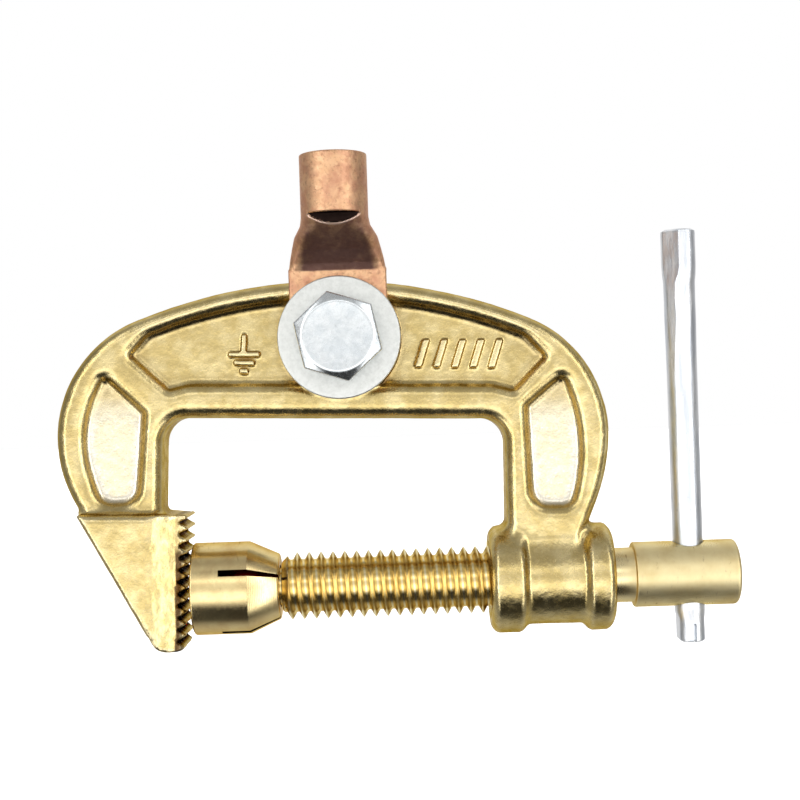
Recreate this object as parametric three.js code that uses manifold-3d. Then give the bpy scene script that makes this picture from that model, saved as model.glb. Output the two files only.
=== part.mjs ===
// Welding ground clamp: a cast brass C-frame with a toothed jaw, a brass clamping screw with a
// swivelling pad and a sliding tommy bar, and a copper cable lug bolted to the top of the frame.
//
// Millimetres. The origin is where the screw axis meets the tips of the fixed jaw's teeth.
// +X runs along the screw axis towards its head, +Z is up and -Y is the front of the frame.

import * as THREE from 'three';
import { mergeVertices } from 'three/addons/utils/BufferGeometryUtils.js';
import Module from 'manifold-3d';

const wasm = await Module();
wasm.setup();

// ---------------------------------------------------------------- driving dimensions

const fitGap = 0.3;              // air left between two pieces that touch
const roundSegments = 32;        // sides of a turned piece
const arcError = 0.06;           // how far an outline's chords may leave their arc

// C-frame. Its outline is drawn in its own upright plane, which is turned about Y by the splay.
const splay = THREE.MathUtils.degToRad(1.9);
const throatLength = 62.9;       // tooth tips to the near end of the boss
const throatDepth = 35.9;        // screw axis to the underside of the top beam
const beamHeight = 28.6;         // underside of the top beam to the top of the crown
const leftLimbWidth = 22;
const rightLimbWidth = 21.6;
const frameThickness = 13;       // rim to rim, front to back
const crownRadius = 109;
const shoulderRadius = 26.5;
const windowCornerRadius = 5;
const frameEdgeRadius = 1.2;
const crownOffset = 0.8;         // crown's middle from the middle of the frame
const crownRun = { left: 15.4, right: 16.7 };  // outer edges to the ends of the crown's arc
const rightFlank = { inset: 8.9, height: 23.4, radius: 40 };  // outer edge's curve down to the boss
const limbFoot = 2;              // height above the screw axis at which the right limb ends
const boltOffset = 0.75;         // lug bolt from the crown's middle
const boltAboveThroat = 16.55;   // underside of the top beam to the lug bolt
const seatRadius = 12.2;         // round pad that the lug and the washers are clamped to

// Sunk panels in both faces of the frame
const panelDepth = 2.2;
const panelDraft = 1.3;          // how far the panel walls lean in
const crownRim = 3;
const panelTipRadius = 1.6;

// Fixed jaw
const jawWidth = 19.5;           // front to back
const jawTop = 16.2;             // ledge above the screw axis
const jawBottom = 12.2;          // tip below the screw axis
const jawBackset = 16.7;         // teeth to the sloping back, at the height of jawBackHeight
const jawBackHeight = 6.1;
const jawBackSlope = THREE.MathUtils.degToRad(30.4);
const jawOverhang = 5.3;         // how far the jaw stands out of the limb into the throat
const jawLean = THREE.MathUtils.degToRad(3);
const jawCheek = { along: 7.5, across: 3.65 };  // sloping cheeks beside the teeth
const jawEdgeRadius = 0.8;
const jawTipRadius = { heel: 3, toe: 1.6, ledge: 1 };
const toothPitch = 2.45;
const toothDepth = 1.8;
const toothFlat = 0.2;
const firstTooth = 0.5;          // ledge to the first tooth

// Boss that carries the screw thread
const bossLength = 25.1;
const bossWall = 2.65;           // outside the screw's thread
const collarStep = 1.6;
const nearCollarWidth = 7.1;
const farCollarWidth = 5.7;
const collarEdge = 1.3;
const bossOverhang = 2.7;        // how far the boss stands out of the limb into the throat
const tapCountersink = 0.5;      // beyond the tapped thread's outside

// Clamping screw
const threadPitch = 2.5;
const threadRadius = 7.05;
const threadRoot = 5.5;
const threadPhase = 0.74;        // share of a turn from +Y to the first crest at x = 0
const threadSides = 16;
const threadClearance = 0.45;    // radial, between the screw and the tapped boss
const headLength = 21.7;
const headRadius = 6.8;
const headChamfer = 1;
const reliefStep = 0.2;          // how far the relief stands above the thread's root
const reliefLength = 4.8;
const barHoleFromEnd = 9.9;
const barHoleClearance = 0.3;

// Swivel pad, a slotted cup crimped over the screw's ball nose
const jawGap = 0.82;             // pad to tooth tips with the clamp closed
const padRadius = 9.65;
const padCylinderLength = 11.7;
const padLength = 18;
const padTipRadius = 6.8;
const padFloor = 5.4;
const padEdge = 0.6;
const ballRadius = 5;
const neckRadius = 3.9;
const ballClearance = 0.35;
const neckClearance = 0.4;
const slotWidth = 1.4;
const slotTipWidth = 0.6;
const slotFloor = 5.9;
const slotCount = 4;
const slotAngle = THREE.MathUtils.degToRad(25);
const noseToThread = 0.5;        // pad to the start of the thread

// Tommy bar
const barRadius = 3.15;
const barLength = 86.3;
const barStandoff = 0.6;         // screw head to the lower staked end
const barEdge = 0.6;
const stakeLength = 6.8;
const topStakeLength = 9.5;
const topStakeTurn = THREE.MathUtils.degToRad(45);
const stakeBulge = 0.6;
const stakeSqueeze = 0.33;

// Cable lug
const lugWall = 1.5;
const lugRadius = 6.8;
const tubeLength = 12.6;         // top of the slope to the mouth of the tube
const lugWidth = 20;
const palmEnd = 10.4;            // bolt centre to the rounded end of the palm
const palmShoulder = 13.6;       // bolt centre to the start of the slope
const slopeHeight = 10.4;
const tubeFloor = 2;             // start of the tube to the bottom of its bore

// Lug bolt, washers and nut, M10
const boltRadius = 5;
const boltHoleClearance = 0.35;
const hexAcrossFlats = 16;
const boltHeadHeight = 6.4;
const boltTurn = THREE.MathUtils.degToRad(12);
const boltEndBeyondNut = 2.2;
const frontWasher = { radius: 12.5, thickness: 2 };
const rearWasher = { radius: 10, thickness: 2 };
const springWasher = { radius: 8.4, thickness: 2.4, slit: 1.3 };
const nutHeight = 8;
const hexChamferRadius = 7.7;

// ---------------------------------------------------------------- positions that follow

const windowLeft = -jawOverhang;
const windowRight = throatLength + bossOverhang;
const outerLeft = windowLeft - leftLimbWidth;
const outerRight = windowRight + rightLimbWidth;
const crownTop = throatDepth + beamHeight;
const crownCentreX = (outerLeft + outerRight) / 2 + crownOffset;
const faceY = frameThickness / 2;
const bolt = new THREE.Vector3(crownCentreX + boltOffset, 0, throatDepth + boltAboveThroat)
  .applyAxisAngle(new THREE.Vector3(0, 1, 0), splay);
const bossRadius = threadRadius + bossWall;
const collarRadius = bossRadius + collarStep;
const bossEnd = throatLength + bossLength;
const padBack = jawGap + padLength;
const ballCentre = jawGap + padFloor + ballRadius + ballClearance;
const threadStart = padBack + noseToThread;
const reliefRadius = threadRoot + reliefStep;
const headStart = bossEnd + reliefLength;
const screwEnd = headStart + headLength;
const barX = screwEnd - barHoleFromEnd;
const barBottom = -(headRadius + barStandoff + stakeLength);
const barTop = barBottom + barLength;
const palmThickness = 2 * lugWall;
const palmBack = -(faceY + fitGap);
const palmFront = palmBack - palmThickness;
const tubeCentreY = palmBack - lugRadius;
const slopeStart = bolt.z + palmShoulder;
const tubeStart = slopeStart + slopeHeight;
const lugTop = tubeStart + tubeLength;
const frontWasherFace = palmFront - fitGap - frontWasher.thickness;
const rearWasherFace = faceY + fitGap;
const springWasherFace = rearWasherFace + rearWasher.thickness + fitGap;
const nutFace = springWasherFace + springWasher.thickness + fitGap;
const boltEnd = nutFace + nutHeight + boltEndBeyondNut;

// ---------------------------------------------------------------- outlines and solids

// A closed outline of straight lines through corners [x, y, radius], each corner rounded by an arc.
// Where two arcs would run into each other, both are made as large as their shared side allows.
function roundedOutline(corners) {
  const count = corners.length;
  const at = corners.map(([x, y]) => new THREE.Vector2(x, y));
  const toNext = at.map((p, i) => at[(i + 1) % count].clone().sub(p));
  const half = at.map((p, i) => {
    const before = toNext.at(i - 1).clone().negate();
    return Math.acos(before.dot(toNext[i]) / (before.length() * toNext[i].length())) / 2;
  });
  const cut = corners.map(([, , radius], i) => radius / Math.tan(half[i]));
  const share = at.map((p, i) => toNext[i].length() / Math.max(1e-9, cut[i] + cut[(i + 1) % count]));
  const points = [];
  at.forEach((corner, i) => {
    const radius = corners[i][2] * Math.min(1, share[i], share.at(i - 1));
    const after = toNext[i].clone().normalize();
    const before = toNext.at(i - 1).clone().normalize().negate();
    const inward = before.clone().add(after).normalize();
    const centre = corner.clone().addScaledVector(inward, radius / Math.sin(half[i]));
    const sweep = Math.sign(after.cross(before)) * (Math.PI - 2 * half[i]);
    const arcStep = 2 * Math.acos(Math.max(0.5, 1 - arcError / Math.max(radius, arcError)));
    const steps = radius > 0 ? Math.max(2, Math.ceil(Math.abs(sweep) / arcStep)) : 0;
    for (let k = 0; k <= steps; k++) {
      const turn = steps ? sweep * (k / steps - 0.5) : 0;
      const outward = inward.clone().negate().rotateAround(new THREE.Vector2(), turn);
      points.push(centre.clone().addScaledVector(outward, radius));
    }
  });
  return new THREE.Shape(points.filter((p, i) => p.distanceTo(points.at(i - 1)) > 1e-3));
}

function signedVolume(geometry) {
  const position = geometry.getAttribute('position');
  const index = geometry.getIndex();
  const corner = [0, 1, 2].map(() => new THREE.Vector3());
  let volume = 0;
  for (let i = 0; i < index.count; i += 3) {
    corner.forEach((c, k) => c.fromBufferAttribute(position, index.getX(i + k)));
    volume += corner[0].dot(corner[1].clone().cross(corner[2])) / 6;
  }
  return volume;
}

// A closed geometry as a solid that can be joined and cut, whichever way its faces were wound.
function solid(geometry) {
  const bare = geometry.clone();
  bare.deleteAttribute('normal');
  bare.deleteAttribute('uv');
  const merged = mergeVertices(bare, 1e-4);
  const winding = signedVolume(merged) < 0 ? [0, 2, 1] : [0, 1, 2];
  const all = merged.getIndex().array;
  const kept = [];
  for (let i = 0; i < all.length; i += 3) {
    const [a, b, c] = winding.map((k) => all[i + k]);
    if (a !== b && b !== c && c !== a) kept.push(a, b, c);
  }
  return new wasm.Manifold(new wasm.Mesh({
    numProp: 3,
    vertProperties: new Float32Array(merged.getAttribute('position').array),
    triVerts: new Uint32Array(kept),
  }));
}

// An upright outline (x, z) extruded along Y between two depths. A bevel rounds both faces' edges.
function upright(shape, yFrom, yTo, bevel = 0) {
  const geometry = new THREE.ExtrudeGeometry(shape, {
    depth: yTo - yFrom - 2 * bevel,
    bevelEnabled: bevel > 0,
    bevelThickness: bevel,
    bevelSize: bevel,
    bevelOffset: -bevel,
    bevelSegments: 2,
  });
  return geometry.rotateX(Math.PI / 2).translate(0, yTo - bevel, 0);
}

// A profile of [distance along X, radius] points turned about the X axis.
function turnedX(profile, sides = roundSegments) {
  const points = profile.map(([along, radius]) => new THREE.Vector2(radius, along));
  return new THREE.LatheGeometry(points, sides).rotateZ(-Math.PI / 2);
}

// A ring or disc whose axis is along Y, from y to y + thickness.
function turnedY(profile, sides = roundSegments) {
  return new THREE.LatheGeometry(profile.map(([y, radius]) => new THREE.Vector2(radius, y)), sides);
}

const splayed = (geometry) => geometry.rotateY(splay);
const atBolt = (geometry) => geometry.translate(bolt.x, 0, bolt.z);

// The bolt's clearance hole through whatever lies between two depths.
function boltHoleCutter(yFrom, yTo) {
  const radius = boltRadius + boltHoleClearance;
  return solid(atBolt(turnedY([[yFrom - 1, 0], [yFrom - 1, radius], [yTo + 1, radius], [yTo + 1, 0]])));
}

function joined(first, ...others) {
  return others.reduce((whole, other) => whole.add(other), first);
}

function cutAway(first, ...cutters) {
  return cutters.reduce((rest, cutter) => rest.subtract(cutter), first);
}

// A right-hand V thread on the X axis, from one distance along it to another, ends closed.
function threadSolid(from, to, crest, root) {
  const firstTurn = Math.floor(from / threadPitch - threadPhase) - 1;
  const lastTurn = Math.ceil(to / threadPitch - threadPhase) + 1;
  const steps = (lastTurn - firstTurn) * threadSides;
  const vertices = [];
  const index = [];
  for (let step = 0; step <= steps + threadSides; step++) {
    const turn = 2 * Math.PI * step / threadSides;
    for (const [k, radius] of [[0, crest], [1, root]]) {
      const along = (firstTurn + threadPhase + step / threadSides + k / 2) * threadPitch;
      vertices.push(along, radius * Math.cos(turn), radius * Math.sin(turn));
    }
  }
  const crestAt = (step) => 2 * step;
  const rootAt = (step) => 2 * step + 1;
  const quad = (a, b, c, d) => index.push(a, b, c, a, c, d);
  for (let step = 0; step < steps; step++) {
    quad(crestAt(step), crestAt(step + 1), rootAt(step + 1), rootAt(step));
    quad(rootAt(step), rootAt(step + 1), crestAt(step + 1 + threadSides), crestAt(step + threadSides));
  }
  const endLoop = (first, sign) => {
    const centre = vertices.length / 3;
    const along = vertices[3 * crestAt(first)] + threadPitch / 2;
    vertices.push(along, 0, 0);
    const loop = [rootAt(first)];
    for (let step = 0; step <= threadSides; step++) loop.push(crestAt(first + step));
    loop.forEach((a, i) => {
      const b = loop[(i + 1) % loop.length];
      index.push(centre, ...(sign > 0 ? [a, b] : [b, a]));
    });
  };
  endLoop(0, -1);
  endLoop(steps, 1);
  const geometry = new THREE.BufferGeometry();
  geometry.setAttribute('position', new THREE.Float32BufferAttribute(vertices, 3));
  geometry.setIndex(index);
  return solid(geometry);
}

// ---------------------------------------------------------------- frame

// Where the sloping back of the jaw is, at a height above the screw axis.
function jawBackAt(height) {
  return -jawBackset - (height - jawBackHeight) * Math.tan(jawBackSlope);
}

// An arc about the crown's centre from one x to another, as the corner between its end tangents.
function crownArc(radius, fromX, toX) {
  const centreZ = crownTop - crownRadius;
  const tangents = [fromX, toX].map((x) => {
    const angle = Math.asin((x - crownCentreX) / radius);
    return { slope: -Math.tan(angle), x, z: centreZ + radius * Math.cos(angle) };
  });
  const heightOn = ({ slope, x, z }, at) => z + (at - x) * slope;
  const [left, right] = tangents;
  const apexX = (heightOn(right, 0) - heightOn(left, 0)) / (left.slope - right.slope);
  return {
    apex: [apexX, heightOn(left, apexX), radius],
    onLeft: (x) => heightOn(left, x),
    onRight: (x) => heightOn(right, x),
  };
}

function frameOutline() {
  const crown = crownArc(crownRadius, outerLeft + crownRun.left, outerRight - crownRun.right);
  const backKnee = jawBackHeight - (outerLeft + jawBackset) / Math.tan(jawBackSlope);
  return roundedOutline([
    [outerLeft, backKnee, shoulderRadius],
    [jawBackAt(0) + 1, 0, 0],
    [windowLeft - 0.3, 0, 0],
    [windowLeft + 0.1, throatDepth, windowCornerRadius],
    [windowRight - 0.1, throatDepth, windowCornerRadius],
    [windowRight + 0.6, limbFoot, 0],
    [outerRight - rightFlank.inset, limbFoot, 0],
    [outerRight, limbFoot + rightFlank.height, rightFlank.radius],
    [outerRight, crown.onRight(outerRight), shoulderRadius],
    crown.apex,
    [outerLeft, crown.onLeft(outerLeft), shoulderRadius],
  ]);
}

// The three sunk panels, counted from the left: limb, top beam, limb.
function panelOutlines() {
  const bottom = throatDepth + 6.2;
  const leftTip = outerLeft + 14.2;
  const rightTip = outerRight - 12.2;
  const crown = crownArc(crownRadius - crownRim, leftTip + 7.2, rightTip - 7.85);
  const leftPanel = [
    [windowLeft - 12.5, throatDepth + 10.3, 2],
    [outerLeft + 3.4, throatDepth - 3.4, 24],
    [outerLeft + 8.8, jawTop + 1.1, 4],
    [windowLeft - 4.3, jawTop + 1.3, 4.5],
    [windowLeft - 3, throatDepth + 1.5, panelTipRadius],
  ];
  const topPanel = [
    [leftTip, throatDepth + 13, panelTipRadius],
    [windowLeft + 1.1, bottom - 1.2, panelTipRadius],
    [windowLeft + 6, bottom, 8],
    [windowRight - 3, bottom, 8],
    [windowRight + 2, bottom - 1.2, panelTipRadius],
    [rightTip, throatDepth + 13, panelTipRadius],
    [rightTip - 4.9, crown.onRight(rightTip - 4.9), 5],
    crown.apex,
    [leftTip + 4.3, crown.onLeft(leftTip + 4.3), 5],
  ];
  const rightPanel = [
    [windowRight + 12.4, throatDepth + 10.7, 2],
    [windowRight + 3.5, throatDepth + 3, panelTipRadius],
    [windowRight + 4.9, jawTop + 0.8, 4.5],
    [outerRight - 7.1, jawTop + 0.8, 4],
    [outerRight - 3.4, throatDepth - 4.6, 42],
  ];
  return [leftPanel, topPanel, rightPanel].map(roundedOutline);
}

// Cutters that sink one panel into the front and the back face.
function panelCutters(outline) {
  const tool = new THREE.ExtrudeGeometry(outline, {
    depth: 1,
    bevelThickness: panelDepth,
    bevelSize: panelDraft,
    bevelOffset: -panelDraft,
    bevelSegments: 1,
  });
  const front = tool.clone().rotateX(Math.PI / 2).translate(0, -faceY, 0);
  const back = tool.rotateX(-Math.PI / 2).scale(1, 1, -1).translate(0, faceY, 0);
  return [front, back].map((geometry) => solid(splayed(geometry)));
}

// The jaw is drawn in the frame's own plane, so its teeth lean less there than they do in the end.
function jawSolid() {
  const halfWidth = jawWidth / 2;
  const faceAt = (height) => height * Math.tan(jawLean - splay);
  const side = roundedOutline([
    [jawBackAt(-jawBottom), -jawBottom, jawTipRadius.heel],
    [faceAt(-jawBottom), -jawBottom, jawTipRadius.toe],
    [faceAt(jawTop), jawTop, jawTipRadius.ledge],
    [jawBackAt(jawTop), jawTop, 0],
  ]);
  const cheekSlope = jawCheek.across / jawCheek.along;
  const noseX = 2;
  const noseY = halfWidth - (jawCheek.along + noseX) * cheekSlope;
  const plan = new THREE.Shape([
    [outerLeft, -halfWidth],
    [-jawCheek.along, -halfWidth],
    [noseX, -noseY],
    [noseX, noseY],
    [-jawCheek.along, halfWidth],
    [outerLeft, halfWidth],
  ].map(([x, y]) => new THREE.Vector2(x, y)));
  const planHeight = jawTop + jawBottom + 2;
  const planGeometry = new THREE.ExtrudeGeometry(plan, { depth: planHeight, bevelEnabled: false });
  planGeometry.translate(0, 0, -jawBottom - 1);
  const body = solid(splayed(upright(side, -halfWidth, halfWidth, jawEdgeRadius)));
  return cutAway(body.intersect(solid(splayed(planGeometry))), ...toothGrooves(faceAt));
}

// V grooves across the jaw's face, which leave a row of teeth between them.
function toothGrooves(faceAt) {
  const mouth = (toothPitch - toothFlat) / 2;
  const reach = 1;               // how far the cutters stand out of the face
  const spread = mouth * (1 + reach / toothDepth);
  const grooves = [];
  for (let height = jawTop - firstTooth - toothPitch / 2; height > mouth - jawBottom; height -= toothPitch) {
    const face = faceAt(height);
    const groove = new THREE.Shape([
      [face - toothDepth, height],
      [face + reach, height - spread],
      [face + reach, height + spread],
    ].map(([x, z]) => new THREE.Vector2(x, z)));
    grooves.push(solid(splayed(upright(groove, -jawWidth, jawWidth))));
  }
  return grooves;
}

function bossSolid() {
  const nearEnd = throatLength + nearCollarWidth;
  const farStart = bossEnd - farCollarWidth;
  return solid(turnedX([
    [throatLength, 0],
    [throatLength, collarRadius - collarEdge],
    [throatLength + collarEdge * 0.4, collarRadius - collarEdge * 0.3],
    [throatLength + collarEdge * 1.2, collarRadius],
    [nearEnd - collarEdge, collarRadius],
    [nearEnd, bossRadius],
    [farStart, bossRadius],
    [farStart + collarEdge, collarRadius],
    [bossEnd - collarEdge, collarRadius],
    [bossEnd - collarEdge * 0.3, collarRadius - collarEdge * 0.4],
    [bossEnd, collarRadius - collarEdge],
    [bossEnd, 0],
  ]));
}

function tapCutter() {
  const crest = threadRadius + threadClearance;
  const root = threadRoot + threadClearance;
  const mouth = crest + tapCountersink;
  const envelope = solid(turnedX([
    [throatLength - 1, 0],
    [throatLength - 1, mouth],
    [throatLength, mouth],
    [throatLength + mouth - root, root],
    [bossEnd - mouth + root, root],
    [bossEnd, mouth],
    [bossEnd + 1, mouth],
    [bossEnd + 1, 0],
  ]));
  const within = solid(turnedX([
    [throatLength - 0.5, 0],
    [throatLength - 0.5, mouth],
    [bossEnd + 0.5, mouth],
    [bossEnd + 0.5, 0],
  ]));
  return envelope.add(threadSolid(throatLength, bossEnd, crest, root).intersect(within));
}

function frameSolid() {
  const plate = solid(splayed(upright(frameOutline(), -faceY, faceY, frameEdgeRadius)));
  const panels = panelOutlines().flatMap(panelCutters);
  const seat = solid(atBolt(turnedY([
    [-faceY, 0],
    [-faceY, seatRadius],
    [faceY, seatRadius],
    [faceY, 0],
  ])));
  const whole = joined(cutAway(plate, ...panels), seat, jawSolid(), bossSolid());
  return cutAway(whole, boltHoleCutter(-faceY, faceY), tapCutter());
}

// ---------------------------------------------------------------- screw, pad and bar

function screwSolid() {
  const thread = threadSolid(threadStart, bossEnd, threadRadius, threadRoot);
  const taper = threadRadius - threadRoot;
  const envelope = solid(turnedX([
    [threadStart, 0],
    [threadStart, threadRoot - 0.3],
    [threadStart + taper, threadRadius + 0.1],
    [bossEnd - taper, threadRadius + 0.1],
    [bossEnd, threadRoot],
    [bossEnd, 0],
  ]));
  const ballSteps = 10;
  const reach = Math.asin(neckRadius / ballRadius);
  const ball = Array.from({ length: ballSteps + 1 }, (_, i) => {
    const angle = Math.PI - (Math.PI - reach) * i / ballSteps;
    return [ballCentre + ballRadius * Math.cos(angle), i ? ballRadius * Math.sin(angle) : 0];
  });
  const core = solid(turnedX([
    ...ball,
    [threadStart, neckRadius],
    [threadStart + 0.6, threadRoot - 0.6],
    [bossEnd - 1, threadRoot - 0.1],
    [bossEnd - 0.2, reliefRadius],
    [headStart, reliefRadius],
    [headStart, headRadius - headChamfer],
    [headStart + headChamfer, headRadius],
    [screwEnd - headChamfer, headRadius],
    [screwEnd, headRadius - headChamfer],
    [screwEnd, 0],
  ]));
  const hole = new THREE.CylinderGeometry(
    barRadius + barHoleClearance, barRadius + barHoleClearance, 4 * headRadius, roundSegments);
  hole.rotateX(Math.PI / 2).translate(barX, 0, 0);
  return cutAway(joined(core, thread.intersect(envelope)), solid(hole));
}

function padSolid() {
  const bore = ballRadius + ballClearance;
  const mouth = neckRadius + neckClearance;
  const crimp = jawGap + padCylinderLength;
  const cup = solid(turnedX([
    [jawGap, 0],
    [jawGap, padRadius - padEdge],
    [jawGap + padEdge, padRadius],
    [crimp, padRadius],
    [padBack - padEdge, padTipRadius],
    [padBack, padTipRadius - padEdge],
    [padBack, mouth],
    [crimp, bore],
    [jawGap + padFloor, bore],
    [jawGap + padFloor, 0],
  ]));
  const slots = Array.from({ length: slotCount }, (_, i) => {
    const slot = new THREE.Shape([
      [jawGap + slotFloor, -slotWidth / 2],
      [crimp, -slotWidth / 2],
      [padBack + 1, -slotTipWidth / 2],
      [padBack + 1, slotTipWidth / 2],
      [crimp, slotWidth / 2],
      [jawGap + slotFloor, slotWidth / 2],
    ].map(([x, y]) => new THREE.Vector2(x, y)));
    const tool = new THREE.ExtrudeGeometry(slot, { depth: padRadius + 1, bevelEnabled: false });
    const turn = Math.PI / 2 - slotAngle + i * 2 * Math.PI / slotCount;
    return solid(tool.translate(0, 0, 2).rotateX(turn));
  });
  return cutAway(cup, ...slots);
}

// A round bar along Z. Each end is staked: squeezed one way, so that it bulges the other way and
// can't leave its hole.
function barSolid() {
  const blend = 2;               // length over which the rod changes from round to staked
  const low = barBottom + stakeLength;
  const high = barTop - topStakeLength;
  const stakedShare = (z) => THREE.MathUtils.clamp(Math.max(low - z, z - high) / blend, 0, 1);
  const profile = [
    [0, barBottom],
    [barRadius - barEdge, barBottom],
    [barRadius, barBottom + barEdge],
    [barRadius, low - blend],
    [barRadius, low],
    [barRadius, high],
    [barRadius, high + blend],
    [barRadius, barTop - barEdge],
    [barRadius - barEdge, barTop],
    [0, barTop],
  ];
  const points = profile.map(([radius, z]) => new THREE.Vector2(radius, z));
  const geometry = new THREE.LatheGeometry(points, roundSegments).rotateX(Math.PI / 2);
  const position = geometry.getAttribute('position');
  for (let i = 0; i < position.count; i++) {
    const z = position.getZ(i);
    const share = stakedShare(z);
    const squeezed = new THREE.Vector2(1, 0).rotateAround(new THREE.Vector2(), z > 0 ? topStakeTurn : 0);
    const bulged = new THREE.Vector2(-squeezed.y, squeezed.x);
    const at = new THREE.Vector2(position.getX(i), position.getY(i));
    const thin = at.dot(squeezed) * (1 - share * stakeSqueeze / barRadius);
    const wide = at.dot(bulged) * (1 + share * stakeBulge / barRadius);
    position.setXY(i, thin * squeezed.x + wide * bulged.x, thin * squeezed.y + wide * bulged.y);
  }
  return solid(geometry.translate(barX, 0, 0));
}

// ---------------------------------------------------------------- cable lug

// The tube is flattened into a palm: each level of the slope is a blend of a flat bar and a circle.
function lugSolid() {
  const half = lugWidth / 2;
  const palm = upright(roundedOutline([
    [-half, -palmEnd, half * 0.98],
    [half, -palmEnd, half * 0.98],
    [half, palmShoulder + 1, 0],
    [-half, palmShoulder + 1, 0],
  ]), palmFront, palmBack, 0.4);
  const sides = roundSegments;
  const levels = 6;
  const vertices = [];
  const index = [];
  const flatAt = (turn) => {
    const x = Math.cos(turn);
    const y = Math.sin(turn);
    const corner = 1 / Math.max(Math.abs(x), Math.abs(y));
    return [half * x * corner, palmThickness / 2 * y * corner];
  };
  const ring = (height, share) => {
    for (let i = 0; i < sides; i++) {
      const turn = 2 * Math.PI * i / sides;
      const [flatX, flatY] = flatAt(turn);
      const roundX = lugRadius * Math.cos(turn);
      const roundY = lugRadius * Math.sin(turn);
      const centre = THREE.MathUtils.lerp(palmBack - palmThickness / 2, tubeCentreY, share);
      vertices.push(
        THREE.MathUtils.lerp(flatX, roundX, share),
        centre + THREE.MathUtils.lerp(flatY, roundY, share),
        height);
    }
  };
  for (let level = 0; level <= levels; level++) {
    const share = level / levels;
    const eased = share * share * (3 - 2 * share);
    ring(slopeStart + slopeHeight * share, eased);
  }
  ring(lugTop, 1);
  const rings = levels + 2;
  for (let r = 0; r < rings - 1; r++) {
    for (let i = 0; i < sides; i++) {
      const a = r * sides + i;
      const b = r * sides + (i + 1) % sides;
      index.push(a, b, b + sides, a, b + sides, a + sides);
    }
  }
  vertices.push(0, palmBack - palmThickness / 2, slopeStart, 0, tubeCentreY, lugTop);
  for (let i = 0; i < sides; i++) {
    const next = (i + 1) % sides;
    const top = (rings - 1) * sides;
    index.push(rings * sides, next, i, rings * sides + 1, top + i, top + next);
  }
  const slope = new THREE.BufferGeometry();
  slope.setAttribute('position', new THREE.Float32BufferAttribute(vertices, 3));
  slope.setIndex(index);
  slope.translate(bolt.x, 0, 0);
  const bore = new THREE.CylinderGeometry(
    lugRadius - lugWall, lugRadius - lugWall, lugTop - tubeStart - tubeFloor + 1, sides);
  bore.rotateX(Math.PI / 2);
  bore.translate(bolt.x, tubeCentreY, (lugTop + tubeStart + tubeFloor + 1) / 2);
  const whole = joined(solid(atBolt(palm)), solid(slope));
  return cutAway(whole, solid(bore), boltHoleCutter(palmFront, palmBack));
}

// ---------------------------------------------------------------- bolt, washers and nut

// A hexagonal prism with chamfered corners, along Y from one depth to another.
function hexSolid(yFrom, yTo, chamferBoth) {
  const corner = hexAcrossFlats / Math.sqrt(3);
  const prism = new THREE.CylinderGeometry(corner, corner, yTo - yFrom, 6);
  prism.translate(0, (yFrom + yTo) / 2, 0).rotateY(boltTurn);
  const slant = (corner - hexChamferRadius) * Math.tan(Math.PI / 6);
  const limit = turnedY([
    [yFrom, 0],
    [yFrom, hexChamferRadius],
    [yFrom + slant, corner],
    [yTo - (chamferBoth ? slant : 0), corner],
    [yTo, chamferBoth ? hexChamferRadius : corner],
    [yTo, 0],
  ]);
  return solid(atBolt(prism)).intersect(solid(atBolt(limit)));
}

function boltSolid() {
  const underHead = frontWasherFace - fitGap;
  const head = hexSolid(underHead - boltHeadHeight, underHead, false);
  const shank = solid(atBolt(turnedY([
    [underHead - 1, 0],
    [underHead - 1, boltRadius],
    [boltEnd - 0.8, boltRadius],
    [boltEnd, boltRadius - 0.8],
    [boltEnd, 0],
  ])));
  return joined(head, shank);
}

function washerGeometry(yFrom, thickness, radius) {
  const hole = boltRadius + boltHoleClearance;
  const edge = 0.25;
  return atBolt(turnedY([
    [yFrom, hole],
    [yFrom, radius - edge],
    [yFrom + edge, radius],
    [yFrom + thickness - edge, radius],
    [yFrom + thickness, radius - edge],
    [yFrom + thickness, hole],
    [yFrom, hole],
  ]));
}

function springWasherSolid() {
  const ring = solid(washerGeometry(springWasherFace, springWasher.thickness, springWasher.radius));
  const slit = new THREE.BoxGeometry(springWasher.slit, 3 * springWasher.thickness, 2 * springWasher.radius);
  slit.rotateZ(THREE.MathUtils.degToRad(20));
  slit.translate(0, springWasherFace + springWasher.thickness / 2, springWasher.radius);
  return cutAway(ring, solid(atBolt(slit)));
}

function nutSolid() {
  const hex = hexSolid(nutFace, nutFace + nutHeight, true);
  return cutAway(hex, boltHoleCutter(nutFace, nutFace + nutHeight));
}

// ---------------------------------------------------------------- assembly

const finishes = {
  castBrass: new THREE.MeshStandardMaterial({ color: 0xc8a24e, roughness: 0.38, metalness: 1 }),
  turnedBrass: new THREE.MeshStandardMaterial({ color: 0xd0ab5c, roughness: 0.25, metalness: 1 }),
  copper: new THREE.MeshStandardMaterial({ color: 0xb9704a, roughness: 0.42, metalness: 1 }),
  zincPlate: new THREE.MeshStandardMaterial({ color: 0xd5dadc, roughness: 0.3, metalness: 1 }),
};

function meshOf(shape) {
  const { vertProperties, triVerts } = shape.getMesh();
  const geometry = new THREE.BufferGeometry();
  geometry.setAttribute('position', new THREE.BufferAttribute(new Float32Array(vertProperties), 3));
  geometry.setIndex(new THREE.BufferAttribute(new Uint32Array(triVerts), 1));
  geometry.computeVertexNormals();
  return geometry;
}

function piece(name, shape, finish) {
  const mesh = new THREE.Mesh(meshOf(shape), finish.clone());
  mesh.name = name;
  return mesh;
}

const screwGroup = new THREE.Group();
screwGroup.add(
  piece('clamp_screw', screwSolid(), finishes.turnedBrass),
  piece('swivel_pad', padSolid(), finishes.turnedBrass),
  piece('tommy_bar', barSolid(), finishes.zincPlate));

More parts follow.
